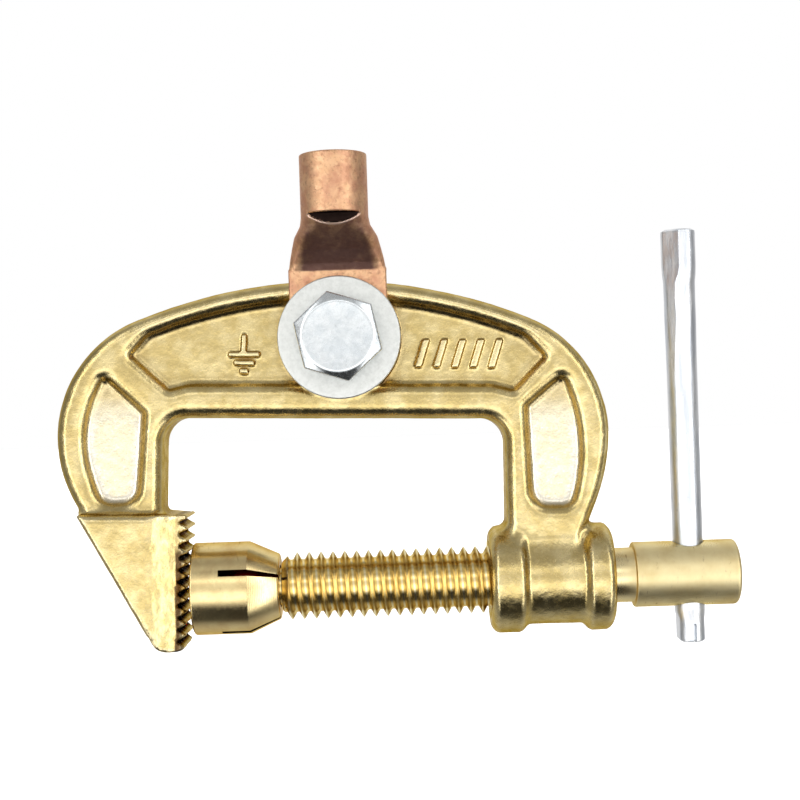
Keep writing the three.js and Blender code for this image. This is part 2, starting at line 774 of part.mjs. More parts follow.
const lugGroup = new THREE.Group();
lugGroup.add(
  piece('cable_lug', lugSolid(), finishes.copper),
  piece('lug_bolt', boltSolid(), finishes.zincPlate),
  piece('front_washer',
    solid(washerGeometry(frontWasherFace, frontWasher.thickness, frontWasher.radius)), finishes.zincPlate),
  piece('rear_washer',
    solid(washerGeometry(rearWasherFace, rearWasher.thickness, rearWasher.radius)), finishes.zincPlate),
  piece('spring_washer', springWasherSolid(), finishes.zincPlate),
  piece('lug_nut', nutSolid(), finishes.zincPlate));

const clamp = new THREE.Group();
clamp.add(piece('frame', frameSolid(), finishes.castBrass), screwGroup, lugGroup);

export default clamp;
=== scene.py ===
import math

import bmesh
import bpy
import numpy as np
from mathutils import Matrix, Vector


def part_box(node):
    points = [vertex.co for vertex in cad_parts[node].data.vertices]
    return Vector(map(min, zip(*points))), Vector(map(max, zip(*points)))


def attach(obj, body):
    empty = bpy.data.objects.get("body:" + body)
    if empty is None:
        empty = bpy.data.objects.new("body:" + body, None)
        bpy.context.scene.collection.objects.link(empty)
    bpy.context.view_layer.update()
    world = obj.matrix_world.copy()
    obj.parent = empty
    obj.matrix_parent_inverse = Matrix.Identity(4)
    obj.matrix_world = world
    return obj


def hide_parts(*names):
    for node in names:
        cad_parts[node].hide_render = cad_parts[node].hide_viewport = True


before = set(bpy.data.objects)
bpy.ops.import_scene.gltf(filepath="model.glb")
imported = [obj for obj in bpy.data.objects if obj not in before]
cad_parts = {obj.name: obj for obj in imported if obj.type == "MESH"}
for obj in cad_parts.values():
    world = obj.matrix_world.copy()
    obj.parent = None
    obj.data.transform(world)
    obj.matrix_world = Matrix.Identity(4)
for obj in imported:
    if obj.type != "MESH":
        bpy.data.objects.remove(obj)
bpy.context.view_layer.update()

import openvdb
from mathutils import Matrix, Vector

# A welding ground clamp: brass C-frame, screw with swivel pad and tommy bar, bolted copper lug.
# Lengths are in millimetres until a mesh is made. The axes are the frame's: +X along the screw
# towards its head, +Z up, -Y the front.

MM = 0.001


def box_mm(node):
    """Lowest and highest corner of a CAD node, in millimetres."""
    low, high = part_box(node)
    return np.array(low) / MM, np.array(high) / MM


# -------------------- places taken from the frame

frame_low, frame_high = box_mm("frame")
screw_end = box_mm("clamp_screw")[1][0]
pad_low, pad_high = box_mm("swivel_pad")
bar_low, bar_high = box_mm("tommy_bar")
lug_low, lug_high = box_mm("cable_lug")
bolt_low, bolt_high = box_mm("lug_bolt")
nut_low, nut_high = box_mm("lug_nut")
bolt_x, _, bolt_z = sum(box_mm("front_washer")) / 2

# -------------------- sizes
# Those that the CAD model has as well are repeated from it.

# The casting is drawn upright, u along and v up, and turned this far about Y.
SPLAY = math.radians(1.9)

THROAT_LENGTH = 62.9
THROAT_DEPTH = 35.9
WINDOW_LEFT = -5.3
WINDOW_RIGHT = THROAT_LENGTH + 2.7
OUTER_LEFT = WINDOW_LEFT - 22
OUTER_RIGHT = WINDOW_RIGHT + 21.6
CROWN_TOP = THROAT_DEPTH + 28.6
CROWN_RADIUS = 109
CROWN_CENTRE = (OUTER_LEFT + OUTER_RIGHT) / 2 + 0.8
SHOULDER_RADIUS = 26.5
FACE_Y = 6.5
RIM_EDGE = 3.0
SEAT_RADIUS = 12.2
SEAT_EDGE = 0.7
SEAT_FILLET = 0.8

PANEL_DEPTH = 2.2
PANEL_DRAFT = 1.3
PANEL_FILLET = 0.8
PANEL_LIP = 1.3
CROWN_RIM = 3.0
TIP_RADIUS = 1.6
MARK_HEIGHT = 0.8
MARK_EDGE = 0.25

JAW_HALF_WIDTH = 9.75
JAW_TOP = 16.2
JAW_BOTTOM = 12.2
JAW_BACKSET = 16.7
JAW_BACK_HEIGHT = 6.1
JAW_BACK_SLOPE = math.radians(30.4)
JAW_LEAN = math.radians(3) - SPLAY
CHEEK_ALONG = 7.5
CHEEK_ACROSS = 3.65
CHEEK_EDGE = 0.5
JAW_EDGE = 1.5
JAW_FILLET = 1.4
TOOTH_PITCH = 2.45
TOOTH_DEPTH = 1.8
TOOTH_FLAT = 0.2
FIRST_TOOTH = 0.5

BOSS_RADIUS = 9.7
COLLAR_RADIUS = 11.3
NEAR_COLLAR = 7.1
FAR_COLLAR = 5.7
COLLAR_EDGE = 1.7
COLLAR_FILLET = 1
BOSS_EDGE = 0.6
BOSS_FILLET = 1.8
BOSS_END = THROAT_LENGTH + 25.1

THREAD_PITCH = 2.5
THREAD_RADIUS = 7.05
THREAD_ROOT = 5.5
THREAD_PHASE = 0.74
THREAD_CLEARANCE = 0.45
THREAD_GAP = 0.5
FLANK_STEEPNESS = 1.4
FLANK_START = 0.36

BALL_RADIUS = 5
BALL_CENTRE = 10.75
NECK_RADIUS = 3.9
HEAD_LENGTH = 21.7
HEAD_RADIUS = 6.8
BAR_HOLE = 3.45
BAR_FROM_END = 9.9

PAD_RADIUS = 9.65
PAD_BACK_RADIUS = 6.8
PAD_EDGE = 0.5
PAD_CRIMP = 11.7
POCKET_START = 5.4
POCKET_RADIUS = 5.35
POCKET_MOUTH = 4.3
SLOT_START = 5.9
SLOT_HALF_WIDTH = 0.7
SLOT_HALF_MOUTH = 0.3
SLOT_TURN = math.radians(25)

BAR_RADIUS = 3.15
BAR_END_EDGE = 0.6
STAKE_DEPTH = 0.55
STAKE_BULGE = 0.6
SPLIT_HEIGHT = 3.6
SPLIT_DEPTH = 0.9

PALM_HALF_WIDTH = 10
PALM_HALF_DEPTH = 1.5
LUG_SLOPE_START = 13.6
LUG_SLOPE_HEIGHT = 10.4
TUBE_RADIUS = 6.8
TUBE_BORE = 5.3
CREASE_SAG = 2.1
CREASE_REACH = 5.7
CREASE_HALF_WIDTH = 5.6
CREASE_DEPTH = 2.4

BOLT_HOLE = 5.35
BOLT_RADIUS = 5
BOLT_HEAD = 6.4
BOLT_PITCH = 1.5
BOLT_THREAD_DEPTH = 0.87
HEX_FLATS = 16
HEX_CHAMFER = 7.05
HEX_EDGE = 0.25
HEX_TURN = math.radians(12)
HEAD_DISH = 0.12
FRONT_WASHER_RADIUS = 12.5
REAR_WASHER_RADIUS = 10
SPRING_WASHER_RADIUS = 8.4
SPRING_WIND = 0.35
SPRING_GAP = math.radians(9)

bar_x = screw_end - BAR_FROM_END
lug_slope_z = bolt_z + LUG_SLOPE_START
crease_z = lug_slope_z + LUG_SLOPE_HEIGHT + 0.5


# -------------------- outlines

def rounded_outline(corners, arc_error=0.01):
    """A closed outline through corners (x, y, radius), each rounded by an arc. Two arcs that
    would run into each other are made as large as their shared side allows."""
    at = [np.array(c[:2], float) for c in corners]
    count = len(at)
    side = [at[(i + 1) % count] - at[i] for i in range(count)]
    length = [np.linalg.norm(s) for s in side]
    half = []
    for i in range(count):
        back = -side[i - 1] / length[i - 1]
        half.append(math.acos(np.clip(back @ side[i] / length[i], -1, 1)) / 2)
    cut = [c[2] / math.tan(h) for c, h in zip(corners, half)]
    share = [length[i] / max(1e-9, cut[i] + cut[(i + 1) % count]) for i in range(count)]
    points = []
    for i, corner in enumerate(at):
        radius = corners[i][2] * min(1, share[i], share[i - 1])
        if radius <= 0:
            points.append(corner)
            continue
        after = side[i] / length[i]
        before = -side[i - 1] / length[i - 1]
        inward = (before + after) / np.linalg.norm(before + after)
        centre = corner + inward * radius / math.sin(half[i])
        turn = after[0] * before[1] - after[1] * before[0]
        sweep = math.copysign(math.pi - 2 * half[i], turn)
        step = 2 * math.acos(1 - min(0.5, arc_error / radius))
        steps = max(2, math.ceil(abs(sweep) / step))
        from_x, from_y = -inward
        for k in range(steps + 1):
            angle = sweep * (k / steps - 0.5)
            c, s = math.cos(angle), math.sin(angle)
            points.append(centre + radius * np.array([c * from_x - s * from_y, s * from_x + c * from_y]))
    kept = [p for i, p in enumerate(points) if np.linalg.norm(p - points[i - 1]) > 1e-4]
    return np.array(kept)


def outline_distance(outline, x, y):
    """Signed distance from points (arrays x, y) to a closed outline, negative inside."""
    nearest = np.full(x.shape, 1e9, np.float32)
    inside = np.zeros(x.shape, bool)
    for a, b in zip(outline, np.roll(outline, -1, axis=0)):
        edge = b - a
        along = ((x - a[0]) * edge[0] + (y - a[1]) * edge[1]) / (edge @ edge)
        along = np.clip(along, 0, 1)
        gap = (x - a[0] - along * edge[0]) ** 2 + (y - a[1] - along * edge[1]) ** 2
        np.minimum(nearest, gap, out=nearest)
        if a[1] != b[1]:
            crosses = (a[1] > y) != (b[1] > y)
            inside ^= crosses & (x < (b[0] - a[0]) * (y - a[1]) / (b[1] - a[1]) + a[0])
    return np.where(inside, -1, 1) * np.sqrt(nearest)


def jaw_back_at(height):
    """How far back the jaw's sloping back edge is at a height."""
    return -JAW_BACKSET - (height - JAW_BACK_HEIGHT) * math.tan(JAW_BACK_SLOPE)


def crown_arc(radius, from_x, to_x):
    """The crown's arc as the corner between its end tangents, and those tangents' heights."""
    tangents = []
    for x in (from_x, to_x):
        angle = math.asin((x - CROWN_CENTRE) / radius)
        tangents.append((-math.tan(angle), x, CROWN_TOP - CROWN_RADIUS + radius * math.cos(angle)))

    def height(tangent, at):
        slope, x, z = tangent
        return z + (at - x) * slope

    left, right = tangents
    apex = (height(right, 0) - height(left, 0)) / (left[0] - right[0])
    corner = (apex, height(left, apex), radius)
    return corner, lambda x: height(left, x), lambda x: height(right, x)


def frame_outline():
    """The casting without its jaw and boss, from the left knee round the throat to the crown."""
    apex, on_left, on_right = crown_arc(CROWN_RADIUS, OUTER_LEFT + 15.4, OUTER_RIGHT - 16.7)
    back_knee = JAW_BACK_HEIGHT - (OUTER_LEFT + JAW_BACKSET) / math.tan(JAW_BACK_SLOPE)
    foot = 2
    return rounded_outline([
        (OUTER_LEFT, back_knee, SHOULDER_RADIUS),
        (jaw_back_at(0) + 1, 0, 0),
        (WINDOW_LEFT - 0.3, 0, 0),
        (WINDOW_LEFT + 0.1, THROAT_DEPTH, 5),
        (WINDOW_RIGHT - 0.1, THROAT_DEPTH, 5),
        (WINDOW_RIGHT + 0.6, foot, 0),
        (OUTER_RIGHT - 8.9, foot, 0),
        (OUTER_RIGHT, foot + 23.4, 40),
        (OUTER_RIGHT, on_right(OUTER_RIGHT), SHOULDER_RADIUS),
        apex,
        (OUTER_LEFT, on_left(OUTER_LEFT), SHOULDER_RADIUS),
    ])


def panel_outlines():
    """The sunk panels from the left: limb, top beam, limb."""
    bottom = THROAT_DEPTH + 6.2
    left_tip = OUTER_LEFT + 14.2
    right_tip = OUTER_RIGHT - 12.2
    apex, on_left, on_right = crown_arc(CROWN_RADIUS - CROWN_RIM, left_tip + 7.2, right_tip - 7.85)
    left_limb = rounded_outline([
        (WINDOW_LEFT - 12.5, THROAT_DEPTH + 10.3, 2),
        (OUTER_LEFT + 3.4, THROAT_DEPTH - 3.4, 24),
        (OUTER_LEFT + 8.8, JAW_TOP + 1.1, 4),
        (WINDOW_LEFT - 4.3, JAW_TOP + 1.3, 4.5),
        (WINDOW_LEFT - 3, THROAT_DEPTH + 1.5, TIP_RADIUS),
    ])
    top_beam = rounded_outline([
        (left_tip, THROAT_DEPTH + 13, TIP_RADIUS),
        (WINDOW_LEFT + 1.1, bottom - 1.2, TIP_RADIUS),
        (WINDOW_LEFT + 6, bottom, 8),
        (WINDOW_RIGHT - 3, bottom, 8),
        (WINDOW_RIGHT + 2, bottom - 1.2, TIP_RADIUS),
        (right_tip, THROAT_DEPTH + 13, TIP_RADIUS),
        (right_tip - 4.9, on_right(right_tip - 4.9), 5),
        apex,
        (left_tip + 4.3, on_left(left_tip + 4.3), 5),
    ])
    right_limb = rounded_outline([
        (WINDOW_RIGHT + 12.4, THROAT_DEPTH + 10.7, 2),
        (WINDOW_RIGHT + 3.5, THROAT_DEPTH + 3, TIP_RADIUS),
        (WINDOW_RIGHT + 4.9, JAW_TOP + 0.8, 4.5),
        (OUTER_RIGHT - 7.1, JAW_TOP + 0.8, 4),
        (OUTER_RIGHT - 3.4, THROAT_DEPTH - 4.6, 42),
    ])
    return left_limb, top_beam, right_limb


# -------------------- solids as distance fields

def either(a, b, fillet):
    """The union of two fields, with a round fillet where they meet."""
    if not fillet:
        return np.minimum(a, b)
    near = np.hypot(np.maximum(fillet - a, 0), np.maximum(fillet - b, 0))
    return np.maximum(fillet, np.minimum(a, b)) - near


def both(a, b, edge):
    """The intersection of two fields, with a rounded edge where they meet."""
    if not edge:
        return np.maximum(a, b)
    near = np.hypot(np.maximum(edge + a, 0), np.maximum(edge + b, 0))
    return np.minimum(-edge, np.maximum(a, b)) + near


def without(a, b, edge):
    """The first field less the second, with a rounded edge where they meet."""
    return both(a, -b, edge)


def axes_of(low, high, voxel):
    """Open grid axes x, y and z from one corner to the other, a margin past both."""
    margin = 3 * voxel
    lines = [np.arange(low[k] - margin, high[k] + margin + voxel, voxel, np.float32) for k in range(3)]
    return np.meshgrid(*lines, indexing="ij", sparse=True)


def field_mesh(field, axes, voxel):
    """The zero surface of a field as a quad mesh, in millimetres."""
    band = 3 * voxel
    grid = openvdb.FloatGrid(background=band)
    grid.copyFromArray(np.clip(field, -band, band).astype(np.float32))
    points, quads = grid.convertToQuads(isovalue=0)
    origin = np.array([a.ravel()[0] for a in axes])
    return points * voxel + origin, quads[:, ::-1]


def blurred(volume, radius):
    """A volume smoothed by a Gaussian of that radius in voxels, along its three axes in turn."""
    reach = int(3 * radius)
    weight = np.exp(-0.5 * (np.arange(-reach, reach + 1) / radius) ** 2)
    weight /= weight.sum()
    for axis in range(3):
        padded = np.pad(volume, [(reach, reach) if k == axis else (0, 0) for k in range(3)], "edge")
        total = np.zeros_like(volume)
        for k, w in enumerate(weight):
            part = [slice(None)] * 3
            part[axis] = slice(k, k + volume.shape[axis])
            total += w * padded[tuple(part)]
        volume = total
    return volume


def sampled(volume, points, axes, voxel):
    """A volume's values at points, by trilinear interpolation."""
    origin = np.array([a.ravel()[0] for a in axes])
    at = (points - origin) / voxel
    low = np.clip(np.floor(at).astype(int), 0, np.array(volume.shape) - 2)
    part = at - low
    total = np.zeros(len(points))
    for corner in np.ndindex(2, 2, 2):
        c = np.array(corner)
        weight = np.prod(np.where(c, part, 1 - part), axis=1)
        index = low + c
        total += weight * volume[index[:, 0], index[:, 1], index[:, 2]]
    return total


# -------------------- meshes

def mesh_object(name, points, faces):
    """A smooth-shaded object from points in millimetres."""
    mesh = bpy.data.meshes.new(name)
    mesh.from_pydata((np.asarray(points, float) * MM).tolist(), [], [list(f) for f in faces])
    mesh.validate()
    mesh.shade_smooth()
    made = bpy.data.objects.new(name, mesh)
    bpy.context.scene.collection.objects.link(made)
    return made


def creased(made, sharp):
    """Smooth shading with sharp edges where faces meet past an angle in degrees."""
    made.data.shade_smooth()
    made.data.set_sharp_from_angle(angle=math.radians(sharp))
    return made


def points_of(made):
    """A mesh's points as an array, in millimetres."""
    flat = np.empty(3 * len(made.data.vertices))
    made.data.vertices.foreach_get("co", flat)
    return flat.reshape(-1, 3) / MM


def paint(made, name, values):
    """Stores one value per point for the finish to read."""
    layer = made.data.attributes.new(name, "FLOAT", "POINT")
    layer.data.foreach_set("value", np.asarray(values, np.float32))


def outward(made):
    """Merges points that coincide and turns all faces outwards."""
    work = bmesh.new()
    work.from_mesh(made.data)
    bmesh.ops.remove_doubles(work, verts=work.verts, dist=1e-7)
    bmesh.ops.dissolve_degenerate(work, edges=work.edges, dist=1e-7)
    bmesh.ops.recalc_face_normals(work, faces=work.faces)
    work.to_mesh(made.data)
    work.free()
    return made


def tube_faces(rows, count):
    """Faces of a closed tube of rows + 1 rings, each of count points, with its two ends."""
    sides = [
        (row * count + i, row * count + (i + 1) % count,
         (row + 1) * count + (i + 1) % count, (row + 1) * count + i)
        for row in range(rows) for i in range(count)]
    return sides + [tuple(range(count))[::-1], tuple(range(rows * count, (rows + 1) * count))]


def turned(name, corners, axis, segments):
    """A profile of (along, radius, rounding) corners turned about the X or Y axis."""
    profile = rounded_outline(corners)
    points, faces = [], []
    count = len(profile)
    for step in range(segments):
        angle = 2 * math.pi * step / segments
        c, s = math.cos(angle), math.sin(angle)
        for along, radius in profile:
            about_x = (along, radius * c, radius * s)
            about_y = (radius * c, along, radius * s)
            points.append(about_x if axis == "X" else about_y)
    for step in range(segments):
        here, there = step * count, (step + 1) % segments * count
        for i in range(count):
            j = (i + 1) % count
            if profile[i][1] > 1e-6 or profile[j][1] > 1e-6:
                faces.append((here + i, here + j, there + j, there + i))
    return creased(outward(mesh_object(name, points, faces)), 35)


def applied(made):
    """Replaces an object's mesh by the one that its modifiers give."""
    graph = bpy.context.evaluated_depsgraph_get()
    mesh = bpy.data.meshes.new_from_object(made.evaluated_get(graph))
    made.modifiers.clear()
    made.data = mesh


def combine(made, other, operation):
    """A boolean with another object, which is used up."""
    step = made.modifiers.new("boolean", "BOOLEAN")
    step.operation = operation
    step.solver = "EXACT"
    step.object = other
    applied(made)
    bpy.data.objects.remove(other)
    return made


def moved(made, x, y, z):
    """Moves an object's mesh by millimetres."""
    made.data.transform(Matrix.Translation(Vector((x, y, z)) * MM))
    return made


# -------------------- the frame casting

def helix(x, y, z, crest, root):
    """Radius of a right-hand V thread's flank at each place around the X axis."""
    turn = np.arctan2(z, y) / (2 * math.pi)
    place = (x / THREAD_PITCH - THREAD_PHASE - turn) % 1
    return crest - (crest - root) * (1 - np.abs(2 * place - 1))


def disc_field(distance, along, low, high, edge):
    """A round shape cut off at both ends, with rounded rims."""
    return both(distance, np.maximum(low - along, along - high), edge)


def jaw_field(u, y, v):
    """The jaw in the frame's own plane: body, sloping cheeks and a row of teeth."""
    face = v * math.tan(JAW_LEAN)
    side = rounded_outline([
        (jaw_back_at(-JAW_BOTTOM), -JAW_BOTTOM, 3),
        (-JAW_BOTTOM * math.tan(JAW_LEAN), -JAW_BOTTOM, 1.6),
        (JAW_TOP * math.tan(JAW_LEAN), JAW_TOP, 1),
        (jaw_back_at(JAW_TOP), JAW_TOP, 0),
    ])
    body = both(outline_distance(side, u, v), np.abs(y) - JAW_HALF_WIDTH, JAW_EDGE)
    slope = CHEEK_ACROSS / CHEEK_ALONG
    cheek = (np.abs(y) - JAW_HALF_WIDTH + (u + CHEEK_ALONG) * slope) / math.hypot(1, slope)
    body = both(body, cheek, CHEEK_EDGE)
    first = JAW_TOP - FIRST_TOOTH - TOOTH_PITCH / 2
    mouth = (TOOTH_PITCH - TOOTH_FLAT) / 2
    rows = int((first + JAW_BOTTOM - mouth) / TOOTH_PITCH)
    row = np.clip(np.round((first - v) / TOOTH_PITCH), 0, rows)
    beside = np.abs(v - (first - row * TOOTH_PITCH))
    steep = TOOTH_DEPTH / mouth
    groove = (face - TOOTH_DEPTH + beside * steep - u) / math.hypot(1, steep)
    return without(body, groove, 0)


def boss_field(x, around):
    """The boss for the screw: a barrel with a collar at each end."""
    barrel = disc_field(around - BOSS_RADIUS, x, THROAT_LENGTH, BOSS_END, BOSS_EDGE)
    collar = around - COLLAR_RADIUS
    near = disc_field(collar, x, THROAT_LENGTH, THROAT_LENGTH + NEAR_COLLAR, COLLAR_EDGE)
    far = disc_field(collar, x, BOSS_END - FAR_COLLAR, BOSS_END, COLLAR_EDGE)
    return either(either(barrel, near, COLLAR_FILLET), far, COLLAR_FILLET)


def mark_field(u, v):
    """Raised marks in the top panel: an earth symbol on the left, slanted bars on the right."""
    symbol_u = 11.5
    symbol_v = THROAT_DEPTH + 13.5
    bars = [(symbol_u, symbol_v + 1.9, 0.5, 2.1, 0)]
    for k, half in enumerate((3.3, 2.1, 0.9)):
        bars.append((symbol_u, symbol_v - 0.2 - 1.75 * k, half, 0.48, 0))
    for k in range(5):
        bars.append((48.4 + 3.8 * k, symbol_v, 0.7, 2.9, 0.3))
    marks = np.full(np.broadcast(u, v).shape, 1e3, np.float32)
    for at_u, at_v, half_u, half_v, slant in bars:
        du = np.abs(u - at_u - slant * (v - at_v)) - half_u
        dv = np.abs(v - at_v) - half_v
        marks = np.minimum(marks, np.maximum(du, dv))
    return marks


def bore_field(x, y, z, around):
    """The tapped bore through the boss, countersunk at both ends."""
    crest = THREAD_RADIUS + THREAD_CLEARANCE
    root = THREAD_ROOT + THREAD_CLEARANCE
    mouth = np.maximum(THROAT_LENGTH - x, x - BOSS_END) + crest + 0.5
    bore = around - np.maximum(helix(x, y, z, crest, root), mouth)
    return np.maximum(bore * 0.8, np.maximum(THROAT_LENGTH - 2 - x, x - BOSS_END - 2))


def frame_field(axes):
    """The whole casting, from its outline and panels to its teeth and its tapped bore."""
    x, y, z = axes
    u = x * math.cos(SPLAY) - z * math.sin(SPLAY)
    v = x * math.sin(SPLAY) + z * math.cos(SPLAY)
    flat_u, flat_v = np.broadcast_arrays(u[:, 0, :], v[:, 0, :])
    depth = FACE_Y - np.abs(y)

    def upright(outline):
        return outline_distance(outline, flat_u, flat_v)[:, None, :]

    whole = both(upright(frame_outline()), -depth, RIM_EDGE)
    from_bolt = np.hypot(x - bolt_x, z - bolt_z)
    seat = from_bolt - SEAT_RADIUS
    steep = PANEL_DRAFT / PANEL_DEPTH
    floor = PANEL_DEPTH - depth
    for outline in panel_outlines():
        wall = (upright(outline) + depth * steep) / math.hypot(1, steep)
        recess = both(wall, -floor, PANEL_FILLET)
        recess = without(recess, seat, 0.6)
        whole = without(whole, recess, PANEL_LIP)
    marks = both(mark_field(u, v) - 0.1, PANEL_DEPTH - MARK_HEIGHT - FACE_Y - y, MARK_EDGE)
    marks = np.maximum(marks, FACE_Y + y - PANEL_DEPTH - 1)
    whole = either(whole, marks, MARK_EDGE)
    whole = either(whole, both(seat, -depth, SEAT_EDGE), SEAT_FILLET)
    whole = either(whole, jaw_field(u, y, v), JAW_FILLET)
    around = np.hypot(y, z)
    whole = either(whole, boss_field(x, around), BOSS_FILLET)
    whole = without(whole, from_bolt - BOLT_HOLE, 0.4)
    return without(whole, bore_field(x, y, z, around), 0.2)


def sand_grain(shape, voxel):
    """Unevenness of a sand casting: fine grain on slow waves, up to 0.15 mm deep."""
    random = np.random.default_rng(5)
    total = np.zeros(shape, np.float32)
    for size, height in ((0.4, 0.012), (2.2, 0.03)):
        layer = blurred(random.standard_normal(shape, dtype=np.float32), size / voxel)
        total += height * layer / layer.std()
    return np.clip(total + 0.06, 0, 0.15)


def upright_of(points):
    """Places of points in the frame's own plane."""
    u = points[:, 0] * math.cos(SPLAY) - points[:, 2] * math.sin(SPLAY)
    v = points[:, 0] * math.sin(SPLAY) + points[:, 2] * math.cos(SPLAY)
    return u, v


def tooth_notch_shade(points):
    """Painted shade: 1 at the roots of the teeth, 0 at their tips. The open top ones get less of it."""
    u, v = upright_of(points)
    among = (v > -JAW_BOTTOM) & (v < JAW_TOP) & (u > -1.3 * TOOTH_DEPTH)
    depth = np.clip((v * math.tan(JAW_LEAN) - u - 0.3) / (0.6 * TOOTH_DEPTH), 0, 1)
    return np.where(among, depth * np.clip((11 - v) / 3, 0.35, 1), 0)


def painted_floor_highlights(points):
    """1 where a painted highlight goes on the front floors of the two limb panels, fading out towards their
    tops.
    """
    u, v = upright_of(points)
    left_limb, _, right_limb = panel_outlines()
    inside = np.minimum(outline_distance(left_limb, u, v), outline_distance(right_limb, u, v))
    inset = np.clip((-inside - 0.7) / 1.2, 0, 1)
    depth = FACE_Y + points[:, 1]
    deep = (depth > PANEL_DEPTH - 0.9) & (depth < PANEL_DEPTH + 1)
    return np.where(deep, inset * np.clip((THROAT_DEPTH + 6 - v) / 9, 0.15, 1), 0)


def crown_wall_shade(points):
    """Painted shade: 1 on the sheltered wall under the crown's rim."""
    u, v = upright_of(points)
    inside = -outline_distance(panel_outlines()[1], u, v)
    band = np.clip((inside + 0.1) / 0.4, 0, 1) * np.clip((2.1 - inside) / 0.5, 0, 1)
    return band * np.clip((v - THROAT_DEPTH - 13.5) / 2, 0, 1) * (np.abs(points[:, 1]) < FACE_Y - 0.35)


def frame_casting():
    """The casting with its grain; how hollow and how sheltered it is, which the finish darkens; where
    painted shade goes in the tooth notches and on the crown's wall; and where a painted highlight goes on
    the limb floors.
    """
    voxel = 0.36
    near_reach, wide_reach = 0.65, 2.4
    cheek_roughness = 2.6
    axes = axes_of(frame_low, frame_high, voxel)
    field = frame_field(axes)
    crumbly = (axes[0] > -CHEEK_ALONG - 0.5) & (axes[0] < 0) & (axes[2] < JAW_TOP)
    field = field + sand_grain(field.shape, voxel) * np.where(crumbly, cheek_roughness, 1)
    points, quads = field_mesh(field, axes, voxel)
    filled = np.clip(0.5 - field / (2 * voxel), 0, 1).astype(np.float32)
    near = sampled(blurred(filled, near_reach / voxel), points, axes, voxel)
    wide = sampled(blurred(filled, wide_reach / voxel), points, axes, voxel)
    made = mesh_object("frame_casting", points, quads)
    # How hollow each point is. The finish darkens hollows, partly as patina and partly as painted shade.
    paint(made, "hollow", near)
    # Where painted shade goes in the tooth notches and on the wall under the crown's rim.
    paint(made, "notch_and_wall_shade", np.maximum(tooth_notch_shade(points), 0.65 * crown_wall_shade(points)))
    # How sheltered each point is, for painted shade.
    paint(made, "shelter_shade", wide)
    # Where the painted highlight goes on the limb panels' floors.
    paint(made, "painted_floor_highlight", painted_floor_highlights(points))
    return made


# -------------------- screw, pad and bar

def threaded_rod(name, before, after, crest, pitch, phase, segments=96, rows_per_pitch=12):
    """A rod on the X axis: rings of (along, radius), a right-hand V thread from the last ring
    before it to the first ring after it, and more rings."""
    start, low_root = before[-1]
    end, high_root = after[0]
    turn = np.arange(segments) / segments
    around = np.stack([np.cos(2 * math.pi * turn), np.sin(2 * math.pi * turn)], axis=1)
    first = math.floor((start / pitch - phase - 1) * rows_per_pitch)
    last = math.ceil((end / pitch - phase) * rows_per_pitch)
    rings = [(np.full(segments, along), np.full(segments, radius)) for along, radius in before[:-1]]
    thread_first = len(rings)
    for row in range(first, last + 1):
        share = abs(2 * ((row / rows_per_pitch) % 1) - 1)
        flank = high_root + (crest - high_root) * min(1, max(0, FLANK_STEEPNESS * share - FLANK_START))
        along = np.clip((row / rows_per_pitch + phase + turn) * pitch, start, end)
        limit = np.minimum(low_root + along - start, high_root + end - along)
        rings.append((along, np.minimum(flank, limit)))
    thread_last = len(rings) - 1
    rings += [(np.full(segments, along), np.full(segments, radius)) for along, radius in after[1:]]
    points = np.concatenate([
        np.stack([along, radius * around[:, 0], radius * around[:, 1]], axis=1) for along, radius in rings])

    def corner(row, step):
        if step < segments:
            return row * segments + step
        on_thread = thread_first <= row <= thread_last
        return (min(row + rows_per_pitch, thread_last) if on_thread else row) * segments

    faces = [
        (corner(row, step), corner(row, step + 1), corner(row + 1, step + 1), corner(row + 1, step))
        for row in range(len(rings) - 1) for step in range(segments)]
    return outward(mesh_object(name, points, faces))


def clamp_screw():
    """The screw from its ball through the thread to its head, with the bar's hole across it."""
    start = pad_high[0] + THREAD_GAP
    ball_centre = pad_low[0] + BALL_CENTRE
    reach = math.pi - math.asin(NECK_RADIUS / BALL_RADIUS)
    ball = [math.pi - reach * k / 16 for k in range(17)]
    nose = [(ball_centre + BALL_RADIUS * math.cos(a), BALL_RADIUS * math.sin(a)) for a in ball]
    nose += [(start - 0.15, NECK_RADIUS), (start, NECK_RADIUS + 0.15), (start, THREAD_ROOT - 0.3)]
    head_start = screw_end - HEAD_LENGTH
    relief = THREAD_ROOT + 0.2
    tail = rounded_outline([
        (BOSS_END, 0, 0),
        (BOSS_END, THREAD_ROOT, 0),
        (BOSS_END + 0.3, relief, 0.1),
        (head_start, relief, 0.1),
        (head_start, HEAD_RADIUS, 0.35),
        (screw_end, HEAD_RADIUS, 0.9),
        (screw_end, 0, 0),
    ])
    tail = [tuple(p) for p in tail[1:]]
    made = threaded_rod("clamp_screw_turned", nose, tail, THREAD_RADIUS, THREAD_PITCH, THREAD_PHASE)
    points = points_of(made)
    around = np.hypot(points[:, 1], points[:, 2])
    on_thread = (points[:, 0] > start) & (points[:, 0] < BOSS_END - 1)
    below_crest = THREAD_RADIUS - around
    # Painted shade down the thread's flanks, just below the crests.
    paint(made, "inner_shade", on_thread * np.interp(below_crest, (0.25, 0.45, 0.9, 1.4), (0, 0.8, 0.35, 0)))
    # Painted highlight on the thread's crests.
    paint(made, "crest", on_thread * np.interp(below_crest, (0.1, 0.3), (1, 0)))
    paint(made, "satin", points[:, 0] > head_start - 0.1)
    end = 3 * HEAD_RADIUS
    hole = turned("hole", [(-end, 0, 0), (-end, BAR_HOLE, 0), (end, BAR_HOLE, 0), (end, 0, 0)], "X", 64)
    hole.data.transform(Matrix.Rotation(math.pi / 2, 4, "Y"))
    moved(hole, bar_x, 0, 0)
    return creased(combine(made, hole, "DIFFERENCE"), 32)


